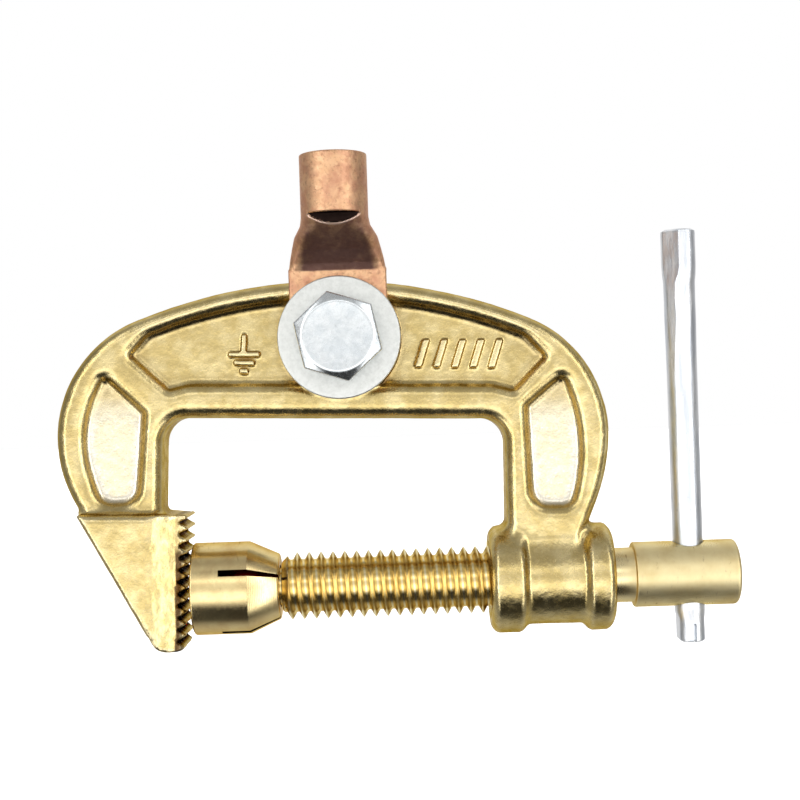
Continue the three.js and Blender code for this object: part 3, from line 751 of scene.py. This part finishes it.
def pad_slot(face, crimp, back, turn):
    """A wedge that cuts one slot through the pad's wall, turned about the screw."""
    outline = [
        (face + SLOT_START, -SLOT_HALF_WIDTH),
        (crimp, -SLOT_HALF_WIDTH),
        (back + 1, -SLOT_HALF_MOUTH),
    ]
    outline += [(along, -side) for along, side in reversed(outline)]
    points = [(along, -depth, side) for depth in (2, 12) for along, side in outline]
    slot = outward(mesh_object("slot", points, tube_faces(1, len(outline))))
    slot.data.transform(Matrix.Rotation(-turn, 4, "X"))
    return slot


def swivel_pad():
    """The cup on the screw's ball: a round pocket behind a flat face, and four slots."""
    face = pad_low[0]
    back = pad_high[0]
    crimp = face + PAD_CRIMP
    pocket = face + POCKET_START
    cup = turned("swivel_pad_cup", [
        (face, 0, 0),
        (face, PAD_RADIUS, PAD_EDGE),
        (crimp, PAD_RADIUS, PAD_EDGE),
        (back, PAD_BACK_RADIUS, PAD_EDGE),
        (back, POCKET_MOUTH, 0.2),
        (crimp, POCKET_RADIUS, 1),
        (pocket, POCKET_RADIUS, PAD_EDGE),
        (pocket, 0, 0),
    ], "X", 128)
    for k in range(4):
        combine(cup, pad_slot(face, crimp, back, SLOT_TURN + k * math.pi / 2), "DIFFERENCE")
    creased(cup, 30)
    # Painted shade on the walls of the slots.
    inner_shade = cup.data.attributes.new("inner_shade", "FLOAT", "FACE")
    for polygon, value in zip(cup.data.polygons, inner_shade.data):
        outwards = Vector((0, polygon.center.y, polygon.center.z)).normalized().dot(polygon.normal)
        value.value = float(outwards < 0.2 and abs(polygon.normal.x) < 0.9)
    return cup


def tommy_bar():
    """A rod with both ends staked flat. The top stake runs out in a long uneven dent, and the
    bottom one has a short split in front."""
    bottom, top = bar_low[2], bar_high[2]
    rows, segments = 240, 96
    angle = 2 * math.pi * np.arange(segments) / segments
    rings = []
    for z in np.linspace(bottom, top, rows + 1):
        end = min(z - bottom, top - z)
        inset = BAR_END_EDGE - math.sqrt(BAR_END_EDGE ** 2 - max(0, BAR_END_EDGE - end) ** 2)
        from_top = top - z
        if z > 0:
            staked = np.interp(from_top, (7.5, 9.5, 11), (1, 0.75, 0.35))
            staked *= np.interp(from_top, (11, 15, 19, 24, 31), (1, 0.7, 0.9, 0.35, 0))
            turn = math.radians(45)
        else:
            staked = np.interp(z - bottom, (4.8, 6.8), (1, 0))
            turn = 0
        radius = BAR_RADIUS - inset
        flat = radius - STAKE_DEPTH * staked
        thin = np.clip(radius * np.cos(angle), -flat, flat)
        wide = radius * np.sin(angle) * (1 + staked * STAKE_BULGE / BAR_RADIUS)
        x = bar_x + thin * math.cos(turn) - wide * math.sin(turn)
        y = thin * math.sin(turn) + wide * math.cos(turn)
        in_split = (z < bottom + SPLIT_HEIGHT) & (np.abs(x - bar_x - 0.25) < 0.2) & (y < 0)
        rings.append(np.stack([x, y + SPLIT_DEPTH * in_split, np.full(segments, z)], axis=1))
    made = mesh_object("tommy_bar_rod", np.concatenate(rings), tube_faces(rows, segments))
    return creased(outward(made), 40)


# -------------------- cable lug

def lug_half_width(share):
    """Half the lug's width along its slope, from the palm at 0 to the tube at 1."""
    widths = (PALM_HALF_WIDTH, 9.6, 9.1, 8.45, 7.1, TUBE_RADIUS)
    return np.interp(share, (0, 0.22, 0.42, 0.64, 0.85, 1), widths)


def crease_sag(across):
    """How far the crease's lower edge hangs below its straight upper edge."""
    return CREASE_SAG * (1 - (across / CREASE_REACH) ** 2)


def lug_field(axes):
    """The lug: a palm round the bolt, a slope that widens into the tube, its bore and crease."""
    x, y, z = axes
    x = x - bolt_x
    back = lug_high[1]
    share = np.clip((z - lug_slope_z) / LUG_SLOPE_HEIGHT, 0, 1)
    half_width = lug_half_width(share)
    half_depth = np.interp(share, (0, 0.15, 0.4, 0.7, 1), (PALM_HALF_DEPTH, 1.9, 3.0, 4.9, TUBE_RADIUS))
    centre = back - half_depth
    corner = np.minimum(half_width, half_depth)
    side = np.maximum(np.abs(x) - (half_width - corner), 0)
    front = np.maximum(np.abs(y - centre) - (half_depth - corner), 0)
    section = np.hypot(side, front) - corner
    tube = np.maximum(section * 0.8, np.maximum(lug_slope_z - z, z - lug_high[2]))
    from_bolt = np.hypot(x, z - bolt_z)
    sides = np.maximum(np.abs(x) - PALM_HALF_WIDTH, np.maximum(bolt_z - z, z - lug_slope_z - 0.5))
    sheet = np.abs(y - back + PALM_HALF_DEPTH) - PALM_HALF_DEPTH
    palm = both(np.minimum(from_bolt - PALM_HALF_WIDTH, sides), sheet, 0.5)
    whole = either(tube, palm, 0.2)
    bore = np.hypot(x, y - (back - TUBE_RADIUS)) - TUBE_BORE
    bore = np.maximum(bore, lug_slope_z + LUG_SLOPE_HEIGHT + 2 - z)
    whole = without(whole, bore, 0.35)
    crease = np.maximum(z - crease_z, crease_z - crease_sag(x) - z)
    crease = np.maximum(crease, y - (back - 2 * TUBE_RADIUS + CREASE_DEPTH))
    whole = without(whole, np.maximum(crease, np.abs(x) - CREASE_HALF_WIDTH), 0.15)
    return without(whole, from_bolt - BOLT_HOLE, 0.2)


def cable_lug():
    """The lug, and where it gets painted shade on its slope, a painted shadow in its crease and a painted
    highlight along the crease's lower edge.
    """
    voxel = 0.26
    axes = axes_of(lug_low, lug_high, voxel)
    points, quads = field_mesh(lug_field(axes), axes, voxel)
    made = mesh_object("cable_lug_tube", points, quads)
    back = lug_high[1]
    across = np.abs(points[:, 0] - bolt_x)
    height = points[:, 2] - lug_slope_z
    share = height / LUG_SLOPE_HEIGHT
    middle = np.clip((0.93 - across / lug_half_width(share)) / 0.25, 0, 1)
    on_slope = np.clip((height + 0.1) / 0.4, 0, 1) * np.clip(LUG_SLOPE_HEIGHT + 0.5 - height, 0, 1)
    on_slope *= np.interp(share, (0, 0.5, 1), (1, 0.9, 0.55))
    # Painted shade on the middle of the slope, lighter towards the tube.
    paint(made, "slope", middle * on_slope * (points[:, 1] < back - PALM_HALF_DEPTH))
    # Painted shadow in the crease under the tube's edge.
    above = points[:, 2] - (crease_z - crease_sag(np.minimum(across, CREASE_REACH)))
    within = (above > 0.12) & (points[:, 2] < crease_z + 0.02) & (across < CREASE_HALF_WIDTH)
    paint(made, "crease", within & (points[:, 1] < back - 10.5))
    # Painted highlight along the crease's lower edge.
    lip_highlight = np.clip(1 - np.abs(above + 0.15) / 0.3, 0, 1)
    paint(made, "lip_highlight", lip_highlight * (across < 5.4) * (points[:, 1] < back - 11))
    return made


# -------------------- bolt, washers and nut

def washer(node, radius):
    """A flat washer on the bolt, as thick as its CAD node."""
    low, high = box_mm(node)
    made = turned(node + "_disc", [
        (low[1], BOLT_HOLE, 0.15),
        (low[1], radius, 0.35),
        (high[1], radius, 0.35),
        (high[1], BOLT_HOLE, 0.15),
    ], "Y", 128)
    return moved(made, bolt_x, 0, bolt_z)


def hex_sides(x, z):
    """Distance to the sides of the bolt's hexagon, in the plane across the bolt."""
    far = np.full(np.broadcast(x, z).shape, -1e3, np.float32)
    for k in range(3):
        angle = HEX_TURN + k * math.pi / 3
        far = np.maximum(far, np.abs(x * math.cos(angle) + z * math.sin(angle)))
    return far - HEX_FLATS / 2


def hex_field(axes, low_y, high_y, chamfer_back):
    """A hexagonal prism with its front corners chamfered, and its back ones if asked, and the
    distance from the bolt's axis."""
    x, y, z = axes
    x = x - bolt_x
    z = z - bolt_z
    around = np.hypot(x, z)
    whole = both(hex_sides(x, z), np.maximum(low_y - y, y - high_y), HEX_EDGE)
    from_ends = [y - low_y, high_y - y] if chamfer_back else [y - low_y]
    for from_end in from_ends:
        cone = (around - HEX_CHAMFER - from_end * math.sqrt(3)) / 2
        whole = both(whole, cone, 0.15)
    return whole, around


def lug_bolt():
    """The bolt: a head with a slightly dished top, and a shank threaded at its end."""
    voxel = 0.2
    head_back = bolt_low[1] + BOLT_HEAD
    axes = axes_of(bolt_low, (bolt_high[0], head_back + 1, bolt_high[2]), voxel)
    head, around = hex_field(axes, bolt_low[1], head_back, False)
    dish = HEAD_DISH * np.clip(around / 7.2, 0, 1) ** 4
    head = np.maximum(head, bolt_low[1] + HEAD_DISH - dish - axes[1])
    points, quads = field_mesh(head, axes, voxel)
    made = mesh_object("lug_bolt_whole", points, quads)
    inside = head_back - 0.5
    thread_start = nut_low[1] - 3
    end = bolt_high[1]
    root = BOLT_RADIUS - BOLT_THREAD_DEPTH
    before = [(inside, 0), (inside, BOLT_RADIUS), (thread_start - 1, BOLT_RADIUS), (thread_start, root)]
    after = [(end, root), (end + 0.01, root - 0.3), (end, 0)]
    shank = threaded_rod("shank", before, after, BOLT_RADIUS, BOLT_PITCH, 0.3, 64, 10)
    shank.data.transform(Matrix.Rotation(math.pi / 2, 4, "Z"))
    moved(shank, bolt_x, 0, bolt_z)
    return combine(made, shank, "UNION")


def spring_washer():
    """A square-section ring, cut through and slightly wound, so that its ends stand apart."""
    box_low, box_high = box_mm("spring_washer")
    low = box_low[1]
    high = box_high[1] - SPRING_WIND
    steps = 96
    outer = SPRING_WASHER_RADIUS
    edge = 0.25
    section = rounded_outline([
        (low, BOLT_HOLE, edge), (low, outer, edge), (high, outer, edge), (high, BOLT_HOLE, edge)])
    points = []
    for step in range(steps + 1):
        angle = math.pi / 2 + SPRING_GAP / 2 + (2 * math.pi - SPRING_GAP) * step / steps
        rise = SPRING_WIND * step / steps
        for along, radius in section:
            points.append((radius * math.cos(angle), along + rise, radius * math.sin(angle)))
    made = mesh_object("spring_washer_coil", points, tube_faces(steps, len(section)))
    return moved(creased(outward(made), 40), bolt_x, 0, bolt_z)


def lug_nut():
    """The nut, with a plain bore."""
    voxel = 0.22
    axes = axes_of(nut_low, nut_high, voxel)
    nut, around = hex_field(axes, nut_low[1], nut_high[1], True)
    nut = without(nut, around - BOLT_HOLE, 0.4)
    points, quads = field_mesh(nut, axes, voxel)
    return mesh_object("lug_nut_hex", points, quads)


# -------------------- finishes

class Finish:
    """A metal's node tree. Patterns are in millimetres of the row frame."""

    def __init__(self, name, roughness=0.3, metallic=1.0):
        self.material = bpy.data.materials.new(name)
        self.material.use_nodes = True
        self.tree = self.material.node_tree
        self.shader = self.tree.nodes["Principled BSDF"]
        self.shader.inputs["Metallic"].default_value = metallic
        self.shader.inputs["Roughness"].default_value = roughness
        self.place = self.node("ShaderNodeTexCoord").outputs["Object"]

    def node(self, kind, **settings):
        made = self.tree.nodes.new(kind)
        for key, value in settings.items():
            setattr(made, key, value)
        return made

    def link(self, source, target):
        if isinstance(source, (int, float)):
            target.default_value = source
        elif isinstance(source, tuple):
            target.default_value = (*source, 1.0)
        else:
            self.tree.links.new(source, target)

    def stretched(self, stretch):
        mapping = self.node("ShaderNodeMapping")
        mapping.inputs["Scale"].default_value = [1 / s for s in stretch]
        self.link(self.place, mapping.inputs["Vector"])
        return mapping.outputs["Vector"]

    def noise(self, size, detail=3, roughness=0.5, stretch=None):
        made = self.node("ShaderNodeTexNoise")
        made.inputs["Scale"].default_value = 1 / (size * MM)
        made.inputs["Detail"].default_value = detail
        made.inputs["Roughness"].default_value = roughness
        self.link(self.stretched(stretch) if stretch else self.place, made.inputs["Vector"])
        return made.outputs["Fac"]

    def rings(self, size):
        """Lathe marks about the X axis."""
        made = self.node("ShaderNodeTexWave", bands_direction="X")
        made.inputs["Scale"].default_value = 0.314 / (size * MM)
        made.inputs["Distortion"].default_value = 0.5
        made.inputs["Detail"].default_value = 3
        self.link(self.place, made.inputs["Vector"])
        return made.outputs["Fac"]

    def attribute(self, name):
        return self.node("ShaderNodeAttribute", attribute_name=name).outputs["Fac"]

    def span(self, value, low, high, to_low=0.0, to_high=1.0):
        made = self.node("ShaderNodeMapRange", interpolation_type="SMOOTHSTEP")
        for key, number in (("From Min", low), ("From Max", high), ("To Min", to_low), ("To Max", to_high)):
            made.inputs[key].default_value = number
        self.link(value, made.inputs["Value"])
        return made.outputs["Result"]

    def math(self, operation, *values):
        made = self.node("ShaderNodeMath", operation=operation)
        for value, socket in zip(values, made.inputs):
            self.link(value, socket)
        return made.outputs[0]

    def mix(self, share, a, b):
        made = self.node("ShaderNodeMix", data_type="RGBA")
        self.link(share, made.inputs["Factor"])
        self.link(a, made.inputs[6])
        self.link(b, made.inputs[7])
        return made.outputs[2]

    def bump(self, height, distance, strength):
        made = self.node("ShaderNodeBump")
        made.inputs["Distance"].default_value = distance * MM
        made.inputs["Strength"].default_value = strength
        self.link(height, made.inputs["Height"])
        if self.shader.inputs["Normal"].is_linked:
            self.link(self.shader.inputs["Normal"].links[0].from_socket, made.inputs["Normal"])
        self.link(made.outputs["Normal"], self.shader.inputs["Normal"])

    def colour(self, value):
        self.link(value, self.shader.inputs["Base Color"])

    def roughness(self, value):
        self.link(value, self.shader.inputs["Roughness"])


def cast_brass():
    """Tumbled cast brass: bright where it stands proud, partly wear and partly a painted highlight; brown to
    black where it is hollow, partly patina and partly painted shade. Painted shade where it is sheltered, in
    the tooth notches and under the crown's rim, and a painted highlight on the front limb floors.
    """
    f = Finish("cast_brass")
    grain = f.noise(0.5, 4, 0.65)
    blotch = f.noise(4, 4, 0.6)
    tone = f.mix(f.span(blotch, 0.35, 0.68), (0.61, 0.47, 0.195), (0.76, 0.62, 0.31))
    # Painted highlight: the front floors of the limb panels are tinted near white, as if lit, and their dark
    # grain is lessened.
    painted_floor_highlight = f.attribute("painted_floor_highlight")
    tone = f.mix(painted_floor_highlight, tone, (1.0, 0.96, 0.83))
    ragged = f.math("MULTIPLY_ADD", grain, 0.14, f.attribute("hollow"))
    ragged = f.math("SUBTRACT", ragged, f.math("MULTIPLY", painted_floor_highlight, 0.1))
    # Pale on proud edges: partly wear, partly a painted highlight.
    wear_and_edge_highlight = f.math("MULTIPLY", f.span(ragged, 0.53, 0.46), 0.7)
    tone = f.mix(wear_and_edge_highlight, tone, (0.88, 0.75, 0.44))
    # Brown to near black in hollows: partly patina, partly painted shade.
    tone = f.mix(f.span(ragged, 0.65, 0.76), tone, (0.30, 0.19, 0.07))
    tone = f.mix(f.span(ragged, 0.72, 0.86), tone, (0.07, 0.04, 0.02))
    # Painted shade where the casting is sheltered.
    painted_wide_shade = f.span(f.attribute("shelter_shade"), 0.5, 0.72)
    tone = f.mix(f.math("MULTIPLY", painted_wide_shade, 0.4), tone, (0.22, 0.13, 0.045))
    # Painted shade, near black, in the tooth notches and on the wall under the crown's rim.
    tone = f.mix(f.attribute("notch_and_wall_shade"), tone, (0.085, 0.05, 0.022))
    f.colour(tone)
    f.link(tone, f.shader.inputs["Specular Tint"])
    f.roughness(f.span(f.noise(1.2, 3), 0.3, 0.7, 0.16, 0.3))
    f.bump(f.noise(1.6, 3, 0.6), 0.1, 0.5)
    f.bump(grain, 0.06, 0.7)
    return f.material


def turned_brass(name, light, dark, low, high):
    """Lathe-turned brass with a roughness from low to high. The mesh's attributes "inner_shade", "crest" and
    "satin" say where it gets painted shade, where it gets a painted highlight and where it is duller."""
    f = Finish(name)
    tone = f.mix(f.span(f.noise(5, 3, 0.6), 0.35, 0.7), light, dark)
    tone = f.mix(f.span(f.noise(0.9, 4, 0.7, (1, 3, 3)), 0.6, 0.8), tone, (0.45, 0.3, 0.13))
    # Painted shade on the thread's flanks and in the pad's slots.
    tone = f.mix(f.attribute("inner_shade"), tone, (0.24, 0.14, 0.055))
    # Painted highlight on the thread's crests.
    tone = f.mix(f.attribute("crest"), tone, (1.0, 0.94, 0.72))
    f.colour(tone)
    f.link(tone, f.shader.inputs["Specular Tint"])
    gloss = f.span(f.noise(0.8, 3, stretch=(0.15, 1, 1)), 0.3, 0.7, low, high)
    f.roughness(f.math("MULTIPLY_ADD", f.attribute("satin"), 0.26, gloss))
    f.bump(f.rings(0.35), 0.006, 0.5)
    f.bump(f.noise(0.5, 3, stretch=(0.2, 1, 1)), 0.012, 0.3)
    return f.material


def zinc(name, light, dark, low, high, size, stretch=(1, 1, 1), depth=0.015):
    """Zinc plate with spots of the given size in millimetres and a roughness from low to high."""
    f = Finish(name)
    tone = f.mix(f.span(f.noise(size * 3, 4, 0.6, stretch), 0.38, 0.66), light, dark)
    tone = f.mix(f.span(f.noise(size * 0.8, 4, 0.7), 0.58, 0.8), tone, tuple(0.8 * c for c in dark))
    f.colour(tone)
    f.roughness(f.span(f.noise(size, 3, 0.6, stretch), 0.3, 0.7, low, high))
    f.bump(f.noise(size, 3, 0.6, stretch), depth, 0.6)
    return f.material


def lug_copper():
    """Mottled copper, with painted shade on the slope, its edge ragged by the blotches."""
    f = Finish("lug_copper")
    speckle = f.noise(0.8, 4, 0.7)
    blotch = f.noise(3.5, 4, 0.65)
    tone = f.mix(f.span(blotch, 0.38, 0.62), (0.87, 0.55, 0.32), (0.72, 0.39, 0.24))
    tone = f.mix(f.span(speckle, 0.5, 0.75), tone, (0.52, 0.27, 0.16))
    # Painted shade on the slope, ragged by the blotches.
    slope_shade = f.math("MULTIPLY_ADD", f.math("SUBTRACT", blotch, 0.5), 0.9, f.attribute("slope"))
    tone = f.mix(f.span(slope_shade, 0.15, 1.0), tone, (0.2, 0.11, 0.09))
    # Painted highlight along the crease's lower edge.
    tone = f.mix(f.attribute("lip_highlight"), tone, (1.0, 0.76, 0.64))
    # Painted shadow, near black, in the crease.
    f.colour(f.mix(f.attribute("crease"), tone, (0.02, 0.012, 0.01)))
    f.roughness(f.span(f.noise(1.0, 3), 0.3, 0.7, 0.45, 0.62))
    f.bump(speckle, 0.04, 0.6)
    f.bump(blotch, 0.25, 0.4)
    return f.material


# -------------------- camera, light and floor

VIEW_CENTRE = (43.85, 39.76)
VIEW_DISTANCE = 305
LENS = 65.25


def make_camera():
    """A camera square to the casting's own plane, at the photograph's distance."""
    data = bpy.data.cameras.new("camera")
    data.sensor_width = 36
    data.lens = LENS
    data.clip_start = 0.01
    made = bpy.data.objects.new("camera", data)
    bpy.context.scene.collection.objects.link(made)
    turn = Matrix.Rotation(SPLAY, 4, "Y")
    place = turn @ Vector((VIEW_CENTRE[0], 0, VIEW_CENTRE[1]))
    place.y = -VIEW_DISTANCE
    made.matrix_world = Matrix.Translation(place * MM) @ turn @ Matrix.Rotation(math.pi / 2, 4, "X")
    bpy.context.scene.camera = made


# Light that reaches the object from each direction, in degrees from its front: first up and down
# (positive upwards), then to either side.
LIGHT_BY_HEIGHT = (
    (-180, 0.8), (-146, 0.75), (-132, 0.6), (-112, 0.55), (-98, 0.42), (-90, 0.3), (-80, 0.06),
    (-43, 0.03), (-34, 0.5), (-22, 2.0), (-10, 2.0), (-4, 1.5), (2, 0.95), (18, 0.9), (26, 2.2),
    (32, 0.85), (40, 0.7), (47, 0.35), (55, 0.6), (64, 0.45), (74, 0.35), (90, 0.45), (104, 0.6),
    (130, 0.9), (180, 0.8),
)
LIGHT_BY_SIDE = (
    (0, 0.9), (28, 0.7), (40, 0.8), (49, 5.0), (58, 0.7), (68, 0.3), (104, 0.28), (128, 0.6), (180, 0.8),
)
BRIGHTEST = 5.0

# How far a direction points sideways, from 0 to 1, where the second list takes over.
SIDE_FROM = 0.35
SIDE_TO = 0.75


def make_world():
    """The studio's light. The camera itself sees plain white instead."""
    world = bpy.data.worlds.new("studio")
    bpy.context.scene.world = world
    world.use_nodes = True
    tree = world.node_tree
    nodes, links = tree.nodes, tree.links

    def maths(operation, *inputs):
        made = nodes.new("ShaderNodeMath")
        made.operation = operation
        for socket, value in zip(made.inputs, inputs):
            if isinstance(value, (int, float)):
                socket.default_value = value
            else:
                links.new(value, socket)
        return made.outputs[0]

    def ramp(angle, full_turn, lights):
        """Light by an angle in radians. The list covers full_turn degrees from its first angle."""
        made = nodes.new("ShaderNodeValToRGB")
        start = lights[0][0]
        share = maths("MULTIPLY_ADD", angle, 1 / math.radians(full_turn), -start / full_turn)
        links.new(share, made.inputs[0])
        stops = made.color_ramp.elements
        for degrees, _ in lights[1:-1]:
            stops.new((degrees - start) / full_turn)
        for stop, (_, light) in zip(stops, lights):
            stop.color = (*[light / BRIGHTEST] * 3, 1)
        return maths("MULTIPLY", made.outputs[0], BRIGHTEST)

    split = nodes.new("ShaderNodeSeparateXYZ")
    links.new(nodes.new("ShaderNodeTexCoord").outputs["Generated"], split.inputs[0])
    x, y, z = split.outputs
    towards = maths("MULTIPLY", y, -1)
    aside = maths("ABSOLUTE", x)
    by_height = ramp(maths("ARCTAN2", z, towards), 360, LIGHT_BY_HEIGHT)
    by_side = ramp(maths("ARCTAN2", aside, towards), 180, LIGHT_BY_SIDE)
    blend = nodes.new("ShaderNodeMapRange")
    blend.interpolation_type = "SMOOTHSTEP"
    blend.inputs["From Min"].default_value = SIDE_FROM
    blend.inputs["From Max"].default_value = SIDE_TO
    links.new(aside, blend.inputs["Value"])
    change = maths("MULTIPLY", maths("SUBTRACT", by_side, by_height), blend.outputs["Result"])
    total = maths("ADD", by_height, change)
    camera_ray = nodes.new("ShaderNodeLightPath").outputs["Is Camera Ray"]
    unseen = maths("MULTIPLY", total, maths("SUBTRACT", 1, camera_ray))
    links.new(maths("ADD", unseen, camera_ray), nodes["Background"].inputs["Color"])


def make_floor():
    """A floor just out of reach of the tommy bar, which swings a full circle with the screw."""
    size = 4000
    low = -bar_high[2] - 2
    corners = [(-size, -size, low), (size, -size, low), (size, size, low), (-size, size, low)]
    floor = mesh_object("floor", corners, [(0, 1, 2, 3)])
    f = Finish("pale_floor", 0.9, 0)
    f.colour(f.mix(f.noise(3), (0.9, 0.9, 0.9), (0.93, 0.93, 0.93)))
    floor.data.materials.append(f.material)
    floor.visible_glossy = False


def make_lights():
    """A broad light from above for the floor. Its mirror image isn't seen in the metal."""
    data = bpy.data.lights.new("overhead", "SUN")
    data.energy = 3.6
    data.angle = math.radians(75)
    made = bpy.data.objects.new("overhead", data)
    bpy.context.scene.collection.objects.link(made)
    made.visible_glossy = False


# -------------------- assembly

def place_piece(made, finish, body, slot, *nodes):
    """Gives a piece its finish and puts it on its body in place of its CAD nodes."""
    made.data.materials.clear()
    made.data.materials.append(finish)
    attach(made, body)
    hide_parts(*nodes)


make_camera()
make_world()
make_floor()
make_lights()
bpy.context.scene.view_settings.view_transform = "Standard"

bolt_zinc = zinc("bolt_zinc", (0.8, 0.83, 0.84), (0.7, 0.74, 0.76), 0.18, 0.3, 0.8)
washer_zinc = zinc("washer_zinc", (0.77, 0.78, 0.75), (0.69, 0.7, 0.67), 0.4, 0.52, 0.4)
screw_brass = turned_brass("screw_brass", (0.94, 0.8, 0.46), (0.84, 0.68, 0.35), 0.14, 0.24)
pad_brass = turned_brass("pad_brass", (0.88, 0.71, 0.36), (0.77, 0.58, 0.28), 0.16, 0.27)
bar_zinc = zinc("bar_zinc", (0.96, 0.97, 0.98), (0.72, 0.76, 0.81), 0.3, 0.48, 0.7, (1, 1, 7), 0.05)
spring_zinc = zinc("spring_zinc", (0.6, 0.61, 0.63), (0.5, 0.51, 0.53), 0.3, 0.45, 0.8)

place_piece(frame_casting(), cast_brass(), "frame", "cast_brass", "frame")
place_piece(clamp_screw(), screw_brass, "screw", "turned_brass", "clamp_screw")
place_piece(swivel_pad(), pad_brass, "pad", "pad_brass", "swivel_pad")
place_piece(tommy_bar(), bar_zinc, "bar", "zinc_bar", "tommy_bar")
place_piece(cable_lug(), lug_copper(), "frame", "copper", "cable_lug")
place_piece(lug_bolt(), bolt_zinc, "frame", "zinc_bolt", "lug_bolt")
place_piece(washer("front_washer", FRONT_WASHER_RADIUS), washer_zinc, "frame", "zinc_washer", "front_washer")
place_piece(washer("rear_washer", REAR_WASHER_RADIUS), washer_zinc, "frame", "zinc_washer", "rear_washer")
place_piece(spring_washer(), spring_zinc, "frame", "spring_steel", "spring_washer")
place_piece(lug_nut(), bolt_zinc, "frame", "zinc_bolt", "lug_nut")
